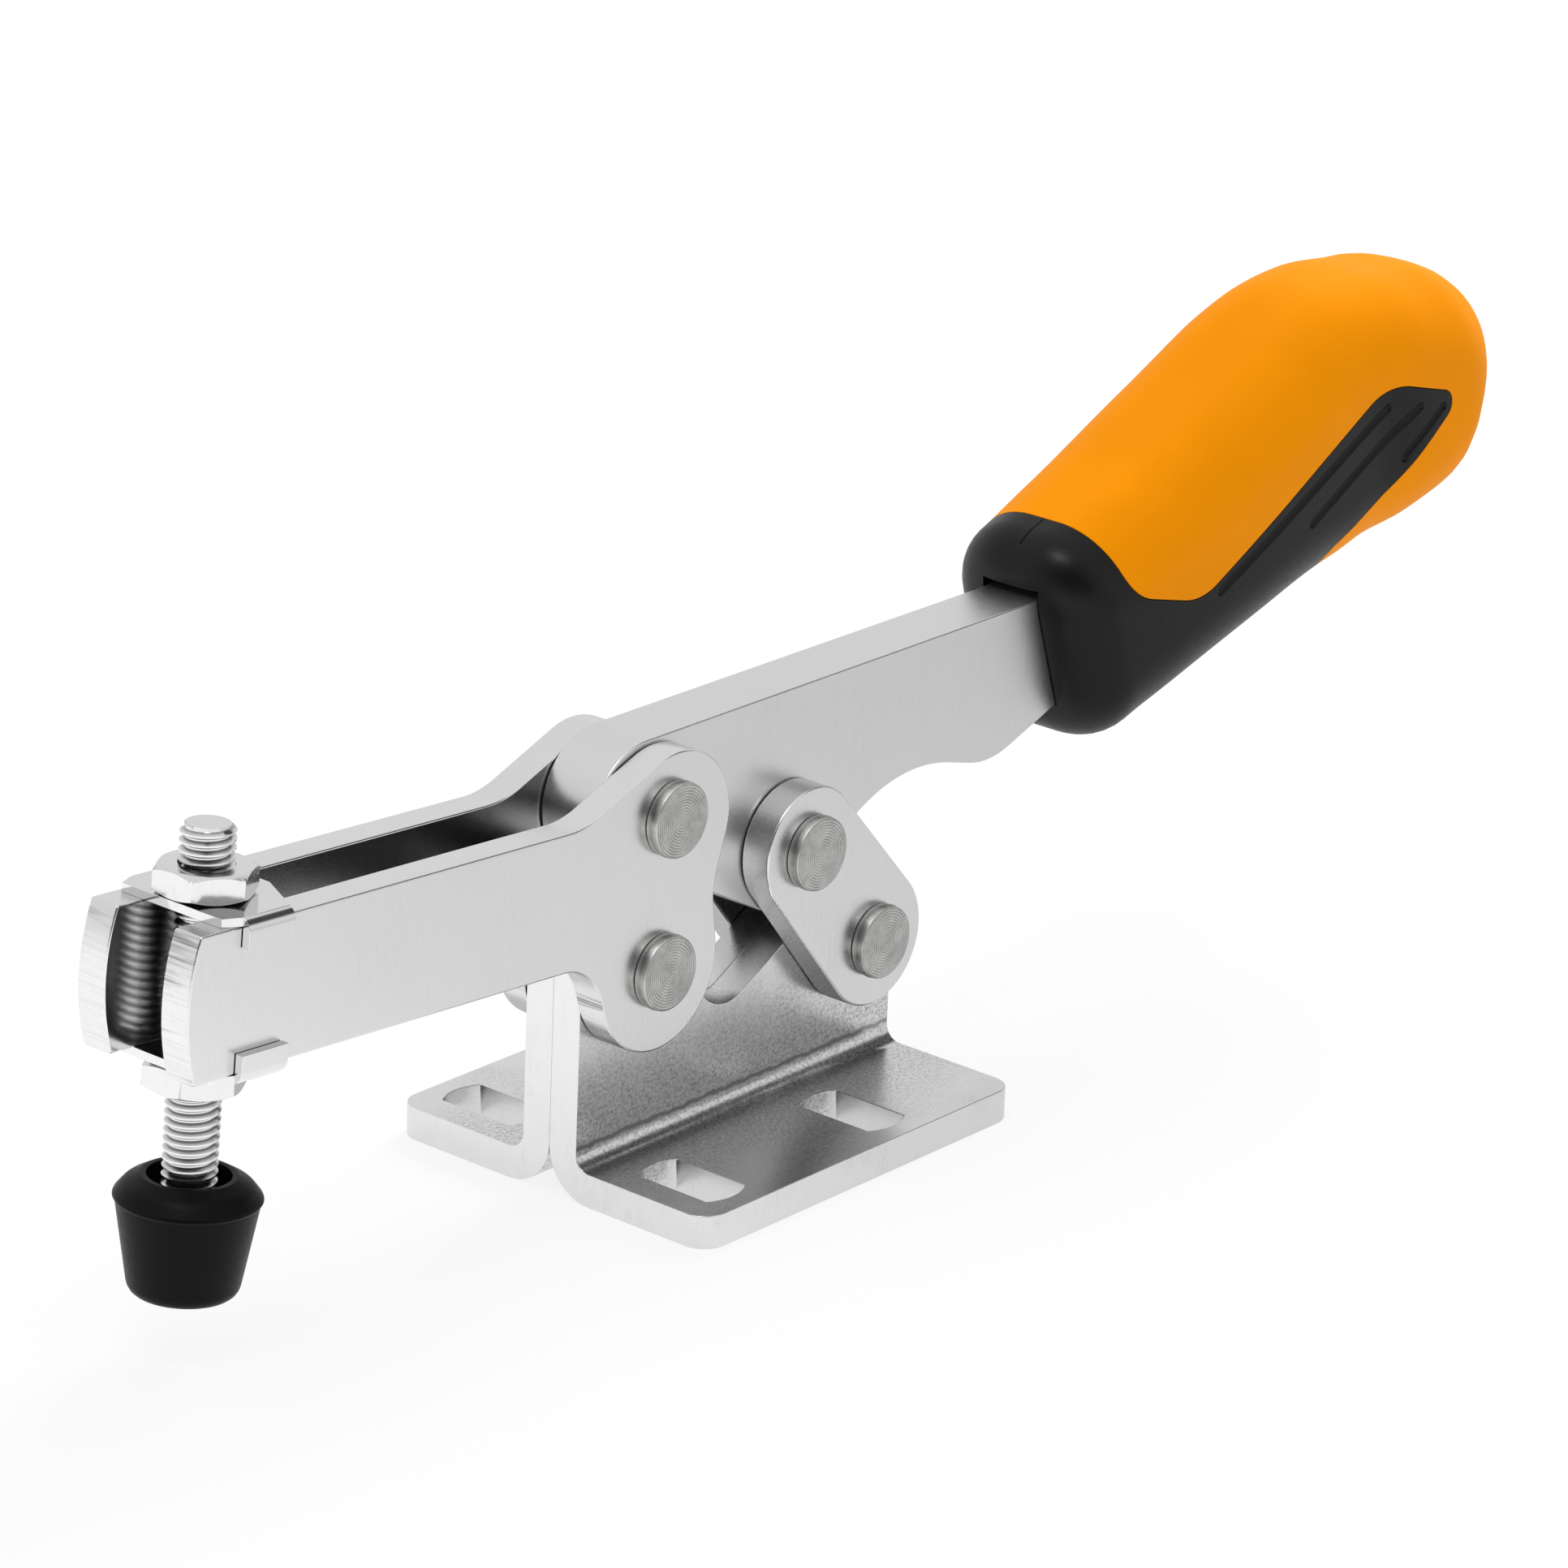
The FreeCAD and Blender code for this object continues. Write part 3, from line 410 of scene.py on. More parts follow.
class Nodes:
    """Short way to lay out a material's nodes."""

    def __init__(self, name):
        self.material = bpy.data.materials.new(name)
        self.material.use_nodes = True
        self.tree = self.material.node_tree
        self.shader = self.tree.nodes["Principled BSDF"]
        self.coords = self.tree.nodes.new("ShaderNodeTexCoord")

    def add(self, kind, **settings):
        """New node with its settings."""
        node = self.tree.nodes.new(kind)
        for key, value in settings.items():
            setattr(node, key, value)
        return node

    def join(self, start, end):
        """Link two sockets."""
        self.tree.links.new(start, end)

    def mapping(self, location=(0, 0, 0), rotation=(0, 0, 0), scale=(1, 1, 1)):
        """Object coordinates, moved, turned and scaled."""
        node = self.add("ShaderNodeMapping")
        node.inputs["Location"].default_value = location
        node.inputs["Rotation"].default_value = rotation
        node.inputs["Scale"].default_value = scale
        self.join(self.coords.outputs["Object"], node.inputs["Vector"])
        return node.outputs["Vector"]

    def noise(self, vector, scale, detail, roughness=0.55):
        """Noise texture on a vector."""
        node = self.add("ShaderNodeTexNoise")
        node.inputs["Scale"].default_value = scale
        node.inputs["Detail"].default_value = detail
        node.inputs["Roughness"].default_value = roughness
        self.join(vector, node.inputs["Vector"])
        return node.outputs["Fac"]

    def ramp(self, value, stops):
        """Colour ramp over a value."""
        node = self.add("ShaderNodeValToRGB")
        element = node.color_ramp.elements
        while len(element) < len(stops):
            element.new(0.5)
        for item, (position, colour) in zip(element, stops):
            item.position = position
            item.color = (*colour, 1.0)
        self.join(value, node.inputs["Fac"])
        return node.outputs["Color"]

    def span(self, value, low, high, to_low, to_high):
        """Value moved from one range to another."""
        node = self.add("ShaderNodeMapRange")
        node.inputs["From Min"].default_value = low
        node.inputs["From Max"].default_value = high
        node.inputs["To Min"].default_value = to_low
        node.inputs["To Max"].default_value = to_high
        self.join(value, node.inputs["Value"])
        return node.outputs["Result"]

    def math(self, operation, first, second):
        """Math node on a socket and a socket or number."""
        node = self.add("ShaderNodeMath", operation=operation)
        self.join(first, node.inputs[0])
        if isinstance(second, (int, float)):
            node.inputs[1].default_value = second
        else:
            self.join(second, node.inputs[1])
        return node.outputs[0]

    def darken(self, amount):
        """Base colour of the shader, darkened by an amount."""
        mix = self.add("ShaderNodeMix", data_type="RGBA")
        self.join(amount, mix.inputs["Factor"])
        self.join(self.tone, mix.inputs[6])
        mix.inputs[7].default_value = (*shade(colours().zinc, DARK_SHARE), 1.0)
        self.join(mix.outputs[2], self.shader.inputs["Base Color"])

    def bump(self, height, distance, strength):
        """Bump from a height socket onto the shader."""
        node = self.add("ShaderNodeBump")
        node.inputs["Distance"].default_value = distance
        node.inputs["Strength"].default_value = strength
        self.join(height, node.inputs["Height"])
        self.join(node.outputs["Normal"], self.shader.inputs["Normal"])


def shade(colour, factor):
    """Colour made lighter or darker."""
    return tuple(min(1.0, c * factor) for c in colour)


def zinc_finish(name, colour, rough=(0.25, 0.30), grain=0.05):
    """Zinc plate: an even satin sheen with faint clouds and a fine grain."""
    n = Nodes(name)
    n.shader.inputs["Metallic"].default_value = 1.0
    clouds = n.noise(n.mapping(), 70.0, 3.0)
    speckle = n.noise(n.mapping(), 2600.0, 2.0, 0.6)
    scratch = n.noise(n.mapping(rotation=(0.0, 0.35, 0.0), scale=(5200.0, 900.0, 380.0)), 1.0, 2.0)
    tone = n.math("ADD", n.math("MULTIPLY", clouds, 0.5), n.math("MULTIPLY", scratch, 0.5))
    n.tone = n.ramp(tone, [(0.28, shade(colour, 0.91)), (0.44, shade(colour, 0.99)),
                           (0.70, shade(colour, 1.02))])
    n.join(n.tone, n.shader.inputs["Base Color"])
    sheen = n.math("ADD", n.math("MULTIPLY", clouds, 0.5), n.math("MULTIPLY", speckle, 0.5))
    n.sheen = n.span(sheen, 0.35, 0.65, rough[0], rough[1])
    n.join(n.sheen, n.shader.inputs["Roughness"])
    n.bump(speckle, 0.006 * MM, grain)
    return n


def brushed(n):
    """Add fine lines and dark streaks to the arm's front ends, and polish its channel."""
    facing = n.add("ShaderNodeSeparateXYZ")
    n.join(n.add("ShaderNodeNewGeometry").outputs["Normal"], facing.inputs["Vector"])
    faces = n.span(facing.outputs["X"], -0.5, -0.8, 0.0, 1.0)
    lines = n.noise(n.mapping(scale=(90.0, 90.0, 3600.0)), 1.0, 3.0, 0.6)
    streaks = n.noise(n.mapping(scale=(40.0, 40.0, 300.0)), 1.0, 2.0, 0.5)
    dark = n.math("MAXIMUM", n.span(lines, 0.48, 0.75, 0.0, 0.18),
                  n.math("MULTIPLY", n.span(streaks, 0.60, 0.68, 0.0, 0.7),
                         n.span(lines, 0.40, 0.60, 0.0, 1.0)))
    n.darken(n.math("MULTIPLY", dark, faces))
    place = n.add("ShaderNodeSeparateXYZ")
    n.join(n.coords.outputs["Object"], place.inputs["Vector"])
    inside = n.span(n.math("ABSOLUTE", place.outputs["Y"], 0.0), CHANNEL_FACE * MM,
                    CHANNEL_EDGE * MM, CHANNEL_POLISH, 1.0)
    n.join(n.math("MULTIPLY", n.sheen, inside), n.shader.inputs["Roughness"])


def painted_thread_shade(n):
    """Painted shade: darken the thread towards its root, where its valleys lie in shade, and leave
    the screw's end bright.
    """
    place = n.add("ShaderNodeVectorMath", operation="SUBTRACT")
    n.join(n.coords.outputs["Object"], place.inputs[0])
    place.inputs[1].default_value = SPINDLE_FRAME.translation * MM
    across = n.add("ShaderNodeVectorMath", operation="CROSS_PRODUCT")
    n.join(place.outputs[0], across.inputs[0])
    across.inputs[1].default_value = SPINDLE_FRAME.col[2].to_3d()
    radius = n.add("ShaderNodeVectorMath", operation="LENGTH")
    n.join(across.outputs[0], radius.inputs[0])
    root = (SCREW_RADIUS - SHADE_DEPTH) * MM
    fade = SHADE_FADE * MM
    deep = n.span(radius.outputs["Value"], root, SCREW_RADIUS * MM - fade, 0.75, 0.0)
    around = n.span(radius.outputs["Value"], root - fade, root, 0.0, 1.0)
    n.darken(n.math("MULTIPLY", deep, around))


def mottling_and_bend_shade(n):
    """Add fine mottling, darkest inside the brackets' bend as painted shade of web and flange
    mirroring each other, and a painted dark reflection line along the bend.
    """
    split = n.add("ShaderNodeSeparateXYZ")
    n.join(n.coords.outputs["Object"], split.inputs["Vector"])
    facing = n.add("ShaderNodeSeparateXYZ")
    n.join(n.add("ShaderNodeNewGeometry").outputs["Normal"], facing.inputs["Vector"])
    faces = n.span(n.math("ABSOLUTE", facing.outputs["X"], 0.0), 0.3, 0.5, 1.0, 0.0)
    out = n.math("SUBTRACT", n.math("ABSOLUTE", split.outputs["Y"], 0.0), BEND_OUT * MM)
    up = n.math("SUBTRACT", split.outputs["Z"], BEND_UP * MM)
    far = n.math("SQRT", n.math("ADD", n.math("MULTIPLY", out, out), n.math("MULTIPLY", up, up)), 0)
    # Painted shade: the spots darken the zinc only near the middle of the bend.
    spread = n.noise(n.mapping(), 120.0, 3.0)
    reach = n.math("ADD", n.math("MULTIPLY", spread, 24.0 * MM), MM)
    near = n.span(n.math("DIVIDE", far, reach), 0.4, 1.3, 1.0, 0.0)
    cells = n.noise(n.mapping(scale=(1.0, 1.0, 1.2)), 2300.0, 4.0, 0.8)
    spots = n.span(cells, 0.44, 0.62, 0.0, 1.0)
    amount = n.math("MULTIPLY", n.math("MULTIPLY", near, spots), 0.60)
    # Painted dark reflection: a wandering line along the bend.
    wander = n.math("SUBTRACT", n.noise(n.mapping(), 500.0, 3.0), 0.5)
    wander = n.math("MULTIPLY", wander, 1.2 * MM)
    line = n.math("ABSOLUTE", n.math("ADD", n.math("SUBTRACT", up, REFLECTION_LINE_UP * MM), wander), 0.0)
    line = n.math("MULTIPLY", n.span(line, 0.15 * MM, 0.45 * MM, 0.75, 0.0),
                  n.span(out, 2.0 * MM, 3.0 * MM, 1.0, 0.0))
    amount = n.math("MULTIPLY", n.math("MAXIMUM", amount, line), faces)
    n.darken(amount)


def turned_finish(name, colour, centre):
    """Turned steel with fine rings round an axis across the clamp."""
    n = Nodes(name)
    n.shader.inputs["Metallic"].default_value = 1.0
    placed = n.mapping(location=(-centre.x, 0.0, -centre.z))
    flat = n.add("ShaderNodeVectorMath", operation="MULTIPLY")
    flat.inputs[1].default_value = (1.0, 0.0, 1.0)
    n.join(placed, flat.inputs[0])
    length = n.add("ShaderNodeVectorMath", operation="LENGTH")
    n.join(flat.outputs[0], length.inputs[0])
    wobble = n.math("MULTIPLY", n.noise(n.mapping(), 350.0, 3.0), 2.5)
    phase = n.math("ADD", n.math("MULTIPLY", length.outputs["Value"], 19000.0), wobble)
    rings = n.math("SINE", phase, 0.0)
    cloud = n.noise(n.mapping(), 650.0, 5.0, 0.65)
    tone = n.math("ADD", n.math("MULTIPLY", cloud, 0.50),
                  n.math("ADD", n.math("MULTIPLY", rings, 0.16), 0.25))
    n.join(n.ramp(tone, [(0.30, shade(colour, 0.60)), (0.48, colour), (0.68, shade(colour, 1.35))]),
           n.shader.inputs["Base Color"])
    n.join(n.span(rings, -1.0, 1.0, 0.34, 0.46), n.shader.inputs["Roughness"])
    n.bump(rings, 0.02 * MM, 0.5)
    return n.material


def moulded_finish(name, colour, rough, scale, depth, gloss):
    """Moulded plastic or rubber with a fine grained skin."""
    n = Nodes(name)
    n.shader.inputs["Specular IOR Level"].default_value = gloss
    cloud = n.noise(n.mapping(), 60.0, 2.0)
    grain = n.noise(n.mapping(), scale, 3.0, 0.6)
    n.join(n.ramp(cloud, [(0.3, shade(colour, 0.95)), (0.7, shade(colour, 1.03))]),
           n.shader.inputs["Base Color"])
    n.join(n.span(grain, 0.3, 0.7, rough - 0.04, rough + 0.05), n.shader.inputs["Roughness"])
    n.bump(grain, depth, 0.5)
    return n.material


def plate(nodes, finish):
    """Clean copies of nodes with eased edges, in one finish."""
    for node in nodes:
        piece = clean_copy(node, node + "_plated")
        round_edges(piece, sizes().plate_edge)
        settle(piece, node, finish.material)


class CLAMP_OT_base(bpy.types.Operator):
    """Two angle brackets with plated, eased edges"""

    bl_idname = "clamp.base"
    bl_label = "Base Brackets"

    def execute(self, context):
        finish = zinc_finish("base_zinc", colours().zinc, (0.21, 0.30))
        # Mottling with painted shade and a painted dark reflection inside the bend.
        mottling_and_bend_shade(finish)
        plate(("base_bracket_near", "base_bracket_far"), finish)
        return {"FINISHED"}


class CLAMP_OT_arm(bpy.types.Operator):
    """Two arm plates with plated, eased edges"""

    bl_idname = "clamp.arm"
    bl_label = "Arm Plates"

    def execute(self, context):
        finish = zinc_finish("arm_zinc", colours().zinc)
        brushed(finish)
        plate(("arm_plate_near", "arm_plate_far"), finish)
        return {"FINISHED"}


class CLAMP_OT_links(bpy.types.Operator):
    """Two link plates with plated, eased edges"""

    bl_idname = "clamp.links"
    bl_label = "Link Plates"

    def execute(self, context):
        plate(("link_plate_near", "link_plate_far"), zinc_finish("link_zinc", colours().zinc))
        return {"FINISHED"}


class CLAMP_OT_lever(bpy.types.Operator):
    """Lever with plated, eased edges"""

    bl_idname = "clamp.lever"
    bl_label = "Lever"

    def execute(self, context):
        plate(("lever",), zinc_finish("lever_zinc", shade(colours().zinc, 0.96), (0.28, 0.38)))
        return {"FINISHED"}


RIVETS = ("arm_pivot_rivet", "lever_pivot_rivet", "link_lever_rivet", "link_base_rivet")
BUSHES = ("arm_pivot_bush", "lever_pivot_bush", "link_base_bush")
# Rivets in millimetres: outer face of the plates, and shank radius.
RIVET_SEAT = 8.1
RIVET_SHANK = 3.0
# How far a rivet head's rim draws in at its face, and in two steps at its foot, with their height.
HEAD_LEAN = 0.12
HEAD_STEPS = (0.10, 0.25)
HEAD_FOOT = 0.12


class CLAMP_OT_rivets(bpy.types.Operator):
    """Turned rivets with eased heads, and the bushes round them"""

    bl_idname = "clamp.rivets"
    bl_label = "Rivets and Bushes"

    def execute(self, context):
        for node in RIVETS:
            low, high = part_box(node)
            middle = (Vector(low) + Vector(high)) / 2
            face = (high[1] - low[1]) / 2 / MM
            rim = (high[0] - low[0]) / 2 / MM
            edge = sizes().head_edge / MM
            half = [(0.0, face, 0.0), (rim - HEAD_LEAN, face, edge),
                    (rim, (face + RIVET_SEAT) / 2, 0.4),
                    (rim - HEAD_STEPS[0], RIVET_SEAT + HEAD_FOOT, 0.0),
                    (rim - HEAD_STEPS[1], RIVET_SEAT, 0.0), (RIVET_SHANK, RIVET_SEAT, 0.0)]
            whole = half + [(radius, -height, bend) for radius, height, bend in reversed(half)]
            across = Matrix.Translation(middle / MM) @ Matrix.Rotation(math.radians(-90), 4, "X")
            piece = turned(node + "_turned", softened(whole), across)
            smooth(piece)
            settle(piece, node, turned_finish(node + "_steel", colours().steel, middle))
        for node in BUSHES:
            low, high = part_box(node)
            middle = (Vector(low) + Vector(high)) / 2
            piece = clean_copy(node, node + "_turned")
            round_edges(piece, sizes().fine_edge, 2)
            settle(piece, node, turned_finish(node + "_steel", colours().steel, middle))
        return {"FINISHED"}


# Clamping screw, nuts and cap, along the spindle from the arm's pivot line.
SCREW_TOP = 27.9
SCREW_RADIUS = 3.0
SCREW_SEAT = -14.0
SCREW_END = -18.0
HEAD_RADIUS = 4.5
TIP_BEVEL = 0.6
THREAD_AROUND = 64
# Half widths of the thread's flat crest and valley, as shares of the pitch.
THREAD_CREST = 0.10
THREAD_VALLEY = 0.08
# How far the thread reaches into the screw's head.
HEAD_OVERLAP = 0.5
# Painted shade of the thread: depth where it is darkest, and width of its bright crest and of the
# inner fade.
SHADE_DEPTH = 0.5
SHADE_FADE = 0.1
NUT_FLATS = 10.0
NUT_HEIGHT = 3.2
# Circle of a nut's face, as a share of the one in its flats, and its bevel in degrees.
NUT_FACE = 0.95
NUT_BEVEL = 30.0
# How far the bevels' tool stays clear of a nut's corners.
NUT_SPARE = 0.02
# Nuts: node, foot on the clip washer, and way of the nut along the spindle.
NUTS = (("upper_nut", 20.3, 1), ("lower_nut", 1.96, -1))
CAP_TOP = -11.0
CAP_FOOT = -24.4


def make_screw():
    """Threaded screw with a bevelled tip and its plain head."""
    pitch = sizes().thread_pitch / MM
    root = SCREW_RADIUS - sizes().thread_depth / MM
    crest = pitch * THREAD_CREST
    valley = pitch * THREAD_VALLEY
    foot = SCREW_SEAT - 2 * pitch
    turns = int((SCREW_TOP - foot) / pitch) + 3
    profile = [(root, 0.0), (root, valley), (SCREW_RADIUS, pitch / 2 - crest),
               (SCREW_RADIUS, pitch / 2 + crest), (root, pitch - valley), (root, pitch)]
    rod = outlined("clamping_screw_threaded",
                   [(radius, 0.0, foot + up) for radius, up in profile])
    screw = rod.modifiers.new("thread", "SCREW")
    screw.axis = "Z"
    screw.steps = THREAD_AROUND
    screw.render_steps = THREAD_AROUND
    screw.iterations = turns
    screw.screw_offset = sizes().thread_pitch
    screw.use_normal_calculate = True
    apply_all(rod)
    in_edit(rod)
    bpy.ops.mesh.remove_doubles(threshold=0.002 * MM)
    for height, outer in ((SCREW_SEAT - HEAD_OVERLAP, False), (SCREW_TOP, True)):
        bpy.ops.mesh.select_all(action="SELECT")
        bpy.ops.mesh.bisect(plane_co=(0.0, 0.0, height * MM), plane_no=(0.0, 0.0, 1.0),
                            threshold=0.001 * MM, clear_inner=not outer, clear_outer=outer)
    out_of_edit()
    close_up(rod)
    for vertex in rod.data.vertices:
        most = SCREW_RADIUS - TIP_BEVEL + SCREW_TOP - vertex.co.z / MM
        radius = math.hypot(vertex.co.x, vertex.co.y) / MM
        if radius > most:
            vertex.co.x *= most / radius
            vertex.co.y *= most / radius
    head = turned("screw_head", [(0.0, SCREW_END), (HEAD_RADIUS, SCREW_END),
                                 (HEAD_RADIUS, SCREW_SEAT), (0.0, SCREW_SEAT)], Matrix.Identity(4))
    alone(rod)
    head.select_set(True)
    bpy.ops.object.join()
    put_in(rod, SPINDLE_FRAME)
    return rod


def make_nut(node, foot, way):
    """Hexagon nut with both faces bevelled, from its foot in the way of the spindle (+1 or -1)."""
    piece = clean_copy(node, node + "_bevelled")
    corner = NUT_FLATS / math.sqrt(3)
    face = NUT_FLATS / 2 * NUT_FACE
    rise = (corner - face) * math.tan(math.radians(NUT_BEVEL))
    wide = corner + NUT_SPARE
    profile = [(0.0, foot), (face, foot), (wide, foot + way * rise),
               (wide, foot + way * (NUT_HEIGHT - rise)),
               (face, foot + way * NUT_HEIGHT), (0.0, foot + way * NUT_HEIGHT)]
    cut(piece, turned("nut_bevels", profile, SPINDLE_FRAME), "INTERSECT")
    return piece


def make_cap():
    """Rubber cap with a rounded brim, shoulder and foot."""
    profile = softened([
        (0.0, CAP_FOOT, 0.0), (5.9, CAP_FOOT, 1.7), (7.75, CAP_TOP - 2.9, 0.0),
        (8.05, CAP_TOP - 2.55, 0.25), (7.9, CAP_TOP - 2.2, 0.3), (6.9, CAP_TOP - 0.95, 3.0),
        (5.2, CAP_TOP, 0.25), (4.55, CAP_TOP, 0.15), (4.55, SCREW_END, 0.0), (0.0, SCREW_END, 0.0)])
    return turned("rubber_cap_moulded", profile, SPINDLE_FRAME)


class CLAMP_OT_spindle(bpy.types.Operator):
    """Screw, nuts, clip washers and rubber cap"""

    bl_idname = "clamp.spindle"
    bl_label = "Spindle"

    def execute(self, context):
        bright = zinc_finish("spindle_zinc", colours().bright, (0.12, 0.20), 0.3).material
        for node, foot, way in NUTS:
            piece = make_nut(node, foot, way)
            round_edges(piece, sizes().fine_edge / 2, 2, 20.0)
            settle(piece, node, bright)
        polished = zinc_finish("clip_zinc", colours().bright, (0.08, 0.15), 0.3).material
        for node in ("upper_clip_washer", "lower_clip_washer"):
            piece = clean_copy(node, node + "_bright")
            round_edges(piece, sizes().fine_edge, 3)
            settle(piece, node, polished)
        piece = make_screw()
        smooth(piece, 50.0)
        thread = zinc_finish("thread_zinc", colours().bright, (0.14, 0.22))
        # Painted shade darkens the thread towards its root.
        painted_thread_shade(thread)
        settle(piece, "clamping_screw", thread.material)
        piece = make_cap()
        smooth(piece, 35.0)
        rubber = moulded_finish("cap_rubber", colours().rubber, 0.42, 1500.0, 0.02 * MM, 0.1)
        settle(piece, "rubber_cap", rubber)
        return {"FINISHED"}


def form_at(station):
    """Top, bottom, half width and slant share of the handle at a station, on smooth curves."""
    share = min(max(station / HANDLE_LENGTH, 0.0), 1.0)
    rows = HANDLE_FORM
    i = 0
    while i < len(rows) - 2 and share > rows[i + 1][0]:
        i += 1
    first, last = rows[i], rows[i + 1]
    gap = last[0] - first[0]
    way = (share - first[0]) / gap
    result = []
    for item in range(1, 5):
        slopes = []
        for j in (i, i + 1):
            before, after = rows[max(j - 1, 0)], rows[min(j + 1, len(rows) - 1)]
            here = rows[j]
            back = (here[item] - before[item]) / max(here[0] - before[0], 1e-6)
            on = (after[item] - here[item]) / max(after[0] - here[0], 1e-6)
            if before is here:
                slopes.append(on)
            elif after is here:
                slopes.append(back)
            elif back * on <= 0.0:
                slopes.append(0.0)
            else:
                slopes.append(2 * back * on / (back + on))
        a, b = first[item], last[item]
        result.append((2 * way ** 3 - 3 * way ** 2 + 1) * a + (3 * way ** 2 - 2 * way ** 3) * b
                      + (way ** 3 - 2 * way ** 2 + way) * gap * slopes[0]
                      + (way ** 3 - way ** 2) * gap * slopes[1])
    return result


def end_inset(depth, radius):
    """How far an end round draws the surface in, at a depth from the end face."""
    if depth >= radius:
        return 0.0
    return radius - math.sqrt(radius ** 2 - (radius - depth) ** 2)


# Rings of the handle: in each end round, and between them.
ROUND_ROWS = 10
BODY_ROWS = 44


def handle_stations():
    """Stations of the handle's rings, close together in its two end rounds."""
    turns = [math.radians(90.0 / ROUND_ROWS * step + 2.0) for step in range(ROUND_ROWS)]
    depths = [1.0 - math.cos(turn) for turn in turns]
    stations = [FRONT_ROUND * depth for depth in depths]
    start, end = FRONT_ROUND, HANDLE_LENGTH - REAR_ROUND
    stations += [start + (end - start) * i / BODY_ROWS for i in range(BODY_ROWS + 1)]
    stations += [HANDLE_LENGTH - REAR_ROUND * depth for depth in reversed(depths)]
    return stations


# Points of a quarter of a ring: on each flat and round the corner.
SIDE_COLUMNS = 5
ARC_COLUMNS = 14
QUARTER = 2 * SIDE_COLUMNS + ARC_COLUMNS


def section_point(station, column):
    """Point of the handle's rounded section, in the handle's frame and in millimetres."""
    top, bottom, half, share = form_at(station)
    inset = end_inset(station, FRONT_ROUND) + end_inset(HANDLE_LENGTH - station, REAR_ROUND)
    angle = math.atan(HANDLE_SLANT * share)
    wide = half - inset
    tall = ((top - bottom) / 2 - inset) / math.cos(angle)
    rear = max(0.0, (station / HANDLE_LENGTH - REAR_SHARE) / (1.0 - REAR_SHARE))
    corner = CORNER_SHARE + CORNER_GAIN * min(1.0, 1.5 * rear)
    radius = min(SECTION_ROUND + REAR_GROWTH * rear, corner * min(wide, tall))
    part, step = divmod(column, QUARTER)
    if part % 2:
        step = QUARTER - step
    turn = min(max((step - SIDE_COLUMNS) / ARC_COLUMNS, 0.0), 1.0) * math.pi / 2
    side = min(step / SIDE_COLUMNS, 1.0)
    lid = min((QUARTER - step) / SIDE_COLUMNS, 1.0)
    across = (wide - radius) * lid + radius * math.cos(turn)
    up = (tall - radius) * side + radius * math.sin(turn)
    across = across if part in (0, 3) else -across
    up = up if part < 2 else -up
    middle = (top + bottom) / 2
    return Vector((station + math.sin(angle) * up, across, middle + math.cos(angle) * up))


def handle_form(name):
    """Whole smooth form of the handle."""
    stations = handle_stations()

    def place(row, column):
        return (HANDLE_FRAME @ section_point(stations[row], column)) * MM

    return wrapped(name, len(stations), 4 * QUARTER, place)


def tangent_turns(circles):
    """Headings of the straight runs between circles of centre, radius and turn."""
    headings = []
    for one, two in zip(circles, circles[1:]):
        way = Vector(two[:2]) - Vector(one[:2])
        lean = (two[3] * two[2] - one[3] * one[2]) / way.length
        headings.append(math.atan2(way.y, way.x) - math.asin(lean))
    return headings


# Longest straight run that stands for an arc of the outline.
ARC_STEP = 0.35


def dark_outline(spare=0.0):
    """Outline of the dark moulding in the side view, widened by a spare."""
    clear = DARK_CLEAR
    top = DARK_TOP + spare
    low = DARK_OUTLINE[0][0] - DARK_OUTLINE[0][2] + spare
    circles = [(low, -2 * clear, 0.0, 1)]
    circles += [(x, y, radius + turn * spare, turn) for x, y, radius, turn in DARK_OUTLINE]
    circles.append((top, clear, 0.0, 1))
    headings = tangent_turns(circles)
    points = [(-clear, -2 * clear), (low, -2 * clear)]
    for i in range(1, len(circles) - 1):
        x, y, radius, turn = circles[i]
        start, end = headings[i - 1], headings[i]
        swing = (end - start + math.pi) % (2 * math.pi) - math.pi
        steps = max(3, int(abs(swing) * radius / ARC_STEP))
        for step in range(steps + 1):
            heading = start + swing * step / steps
            points.append((x + turn * radius * math.sin(heading),
                           y - turn * radius * math.cos(heading)))
    points += [(top, clear), (-clear, clear)]
    return points


# Rings of a groove's cutter, between its round ends and in each of them, and points of a ring.
GROOVE_ROWS = 12
GROOVE_ROUNDS = 5
GROOVE_AROUND = 24


def groove_cutter(start, end, side):
    """Bent rod with round ends that cuts a grip groove into one side of the handle."""
    radius = sizes().groove_radius / MM
    first = Vector(start)
    way = Vector(end) - first
    length = way.length
    way.normalize()
    rounds = []
    for step in range(GROOVE_ROUNDS):
        turn = math.radians(90.0 / GROOVE_ROUNDS * step + 3.0)
        rounds.append((radius * math.cos(turn), radius * math.sin(turn)))
    rows = [(-reach, wide) for reach, wide in rounds]
    rows += [(length * step / GROOVE_ROWS, radius) for step in range(GROOVE_ROWS + 1)]
    rows += [(length + reach, wide) for reach, wide in reversed(rounds)]

    def place(row, column):
        along, wide = rows[row]
        middle = first + way * along
        turn = 2 * math.pi * column / GROOVE_AROUND
        out = form_at(middle.x)[2] + GROOVE_SINK * radius + wide * math.sin(turn)
        level = wide * math.cos(turn)
        point = Vector((middle.x - way.y * level, side * out, middle.y + way.x * level))
        return (HANDLE_FRAME @ point) * MM

    return wrapped("groove", len(rows), GROOVE_AROUND, place)


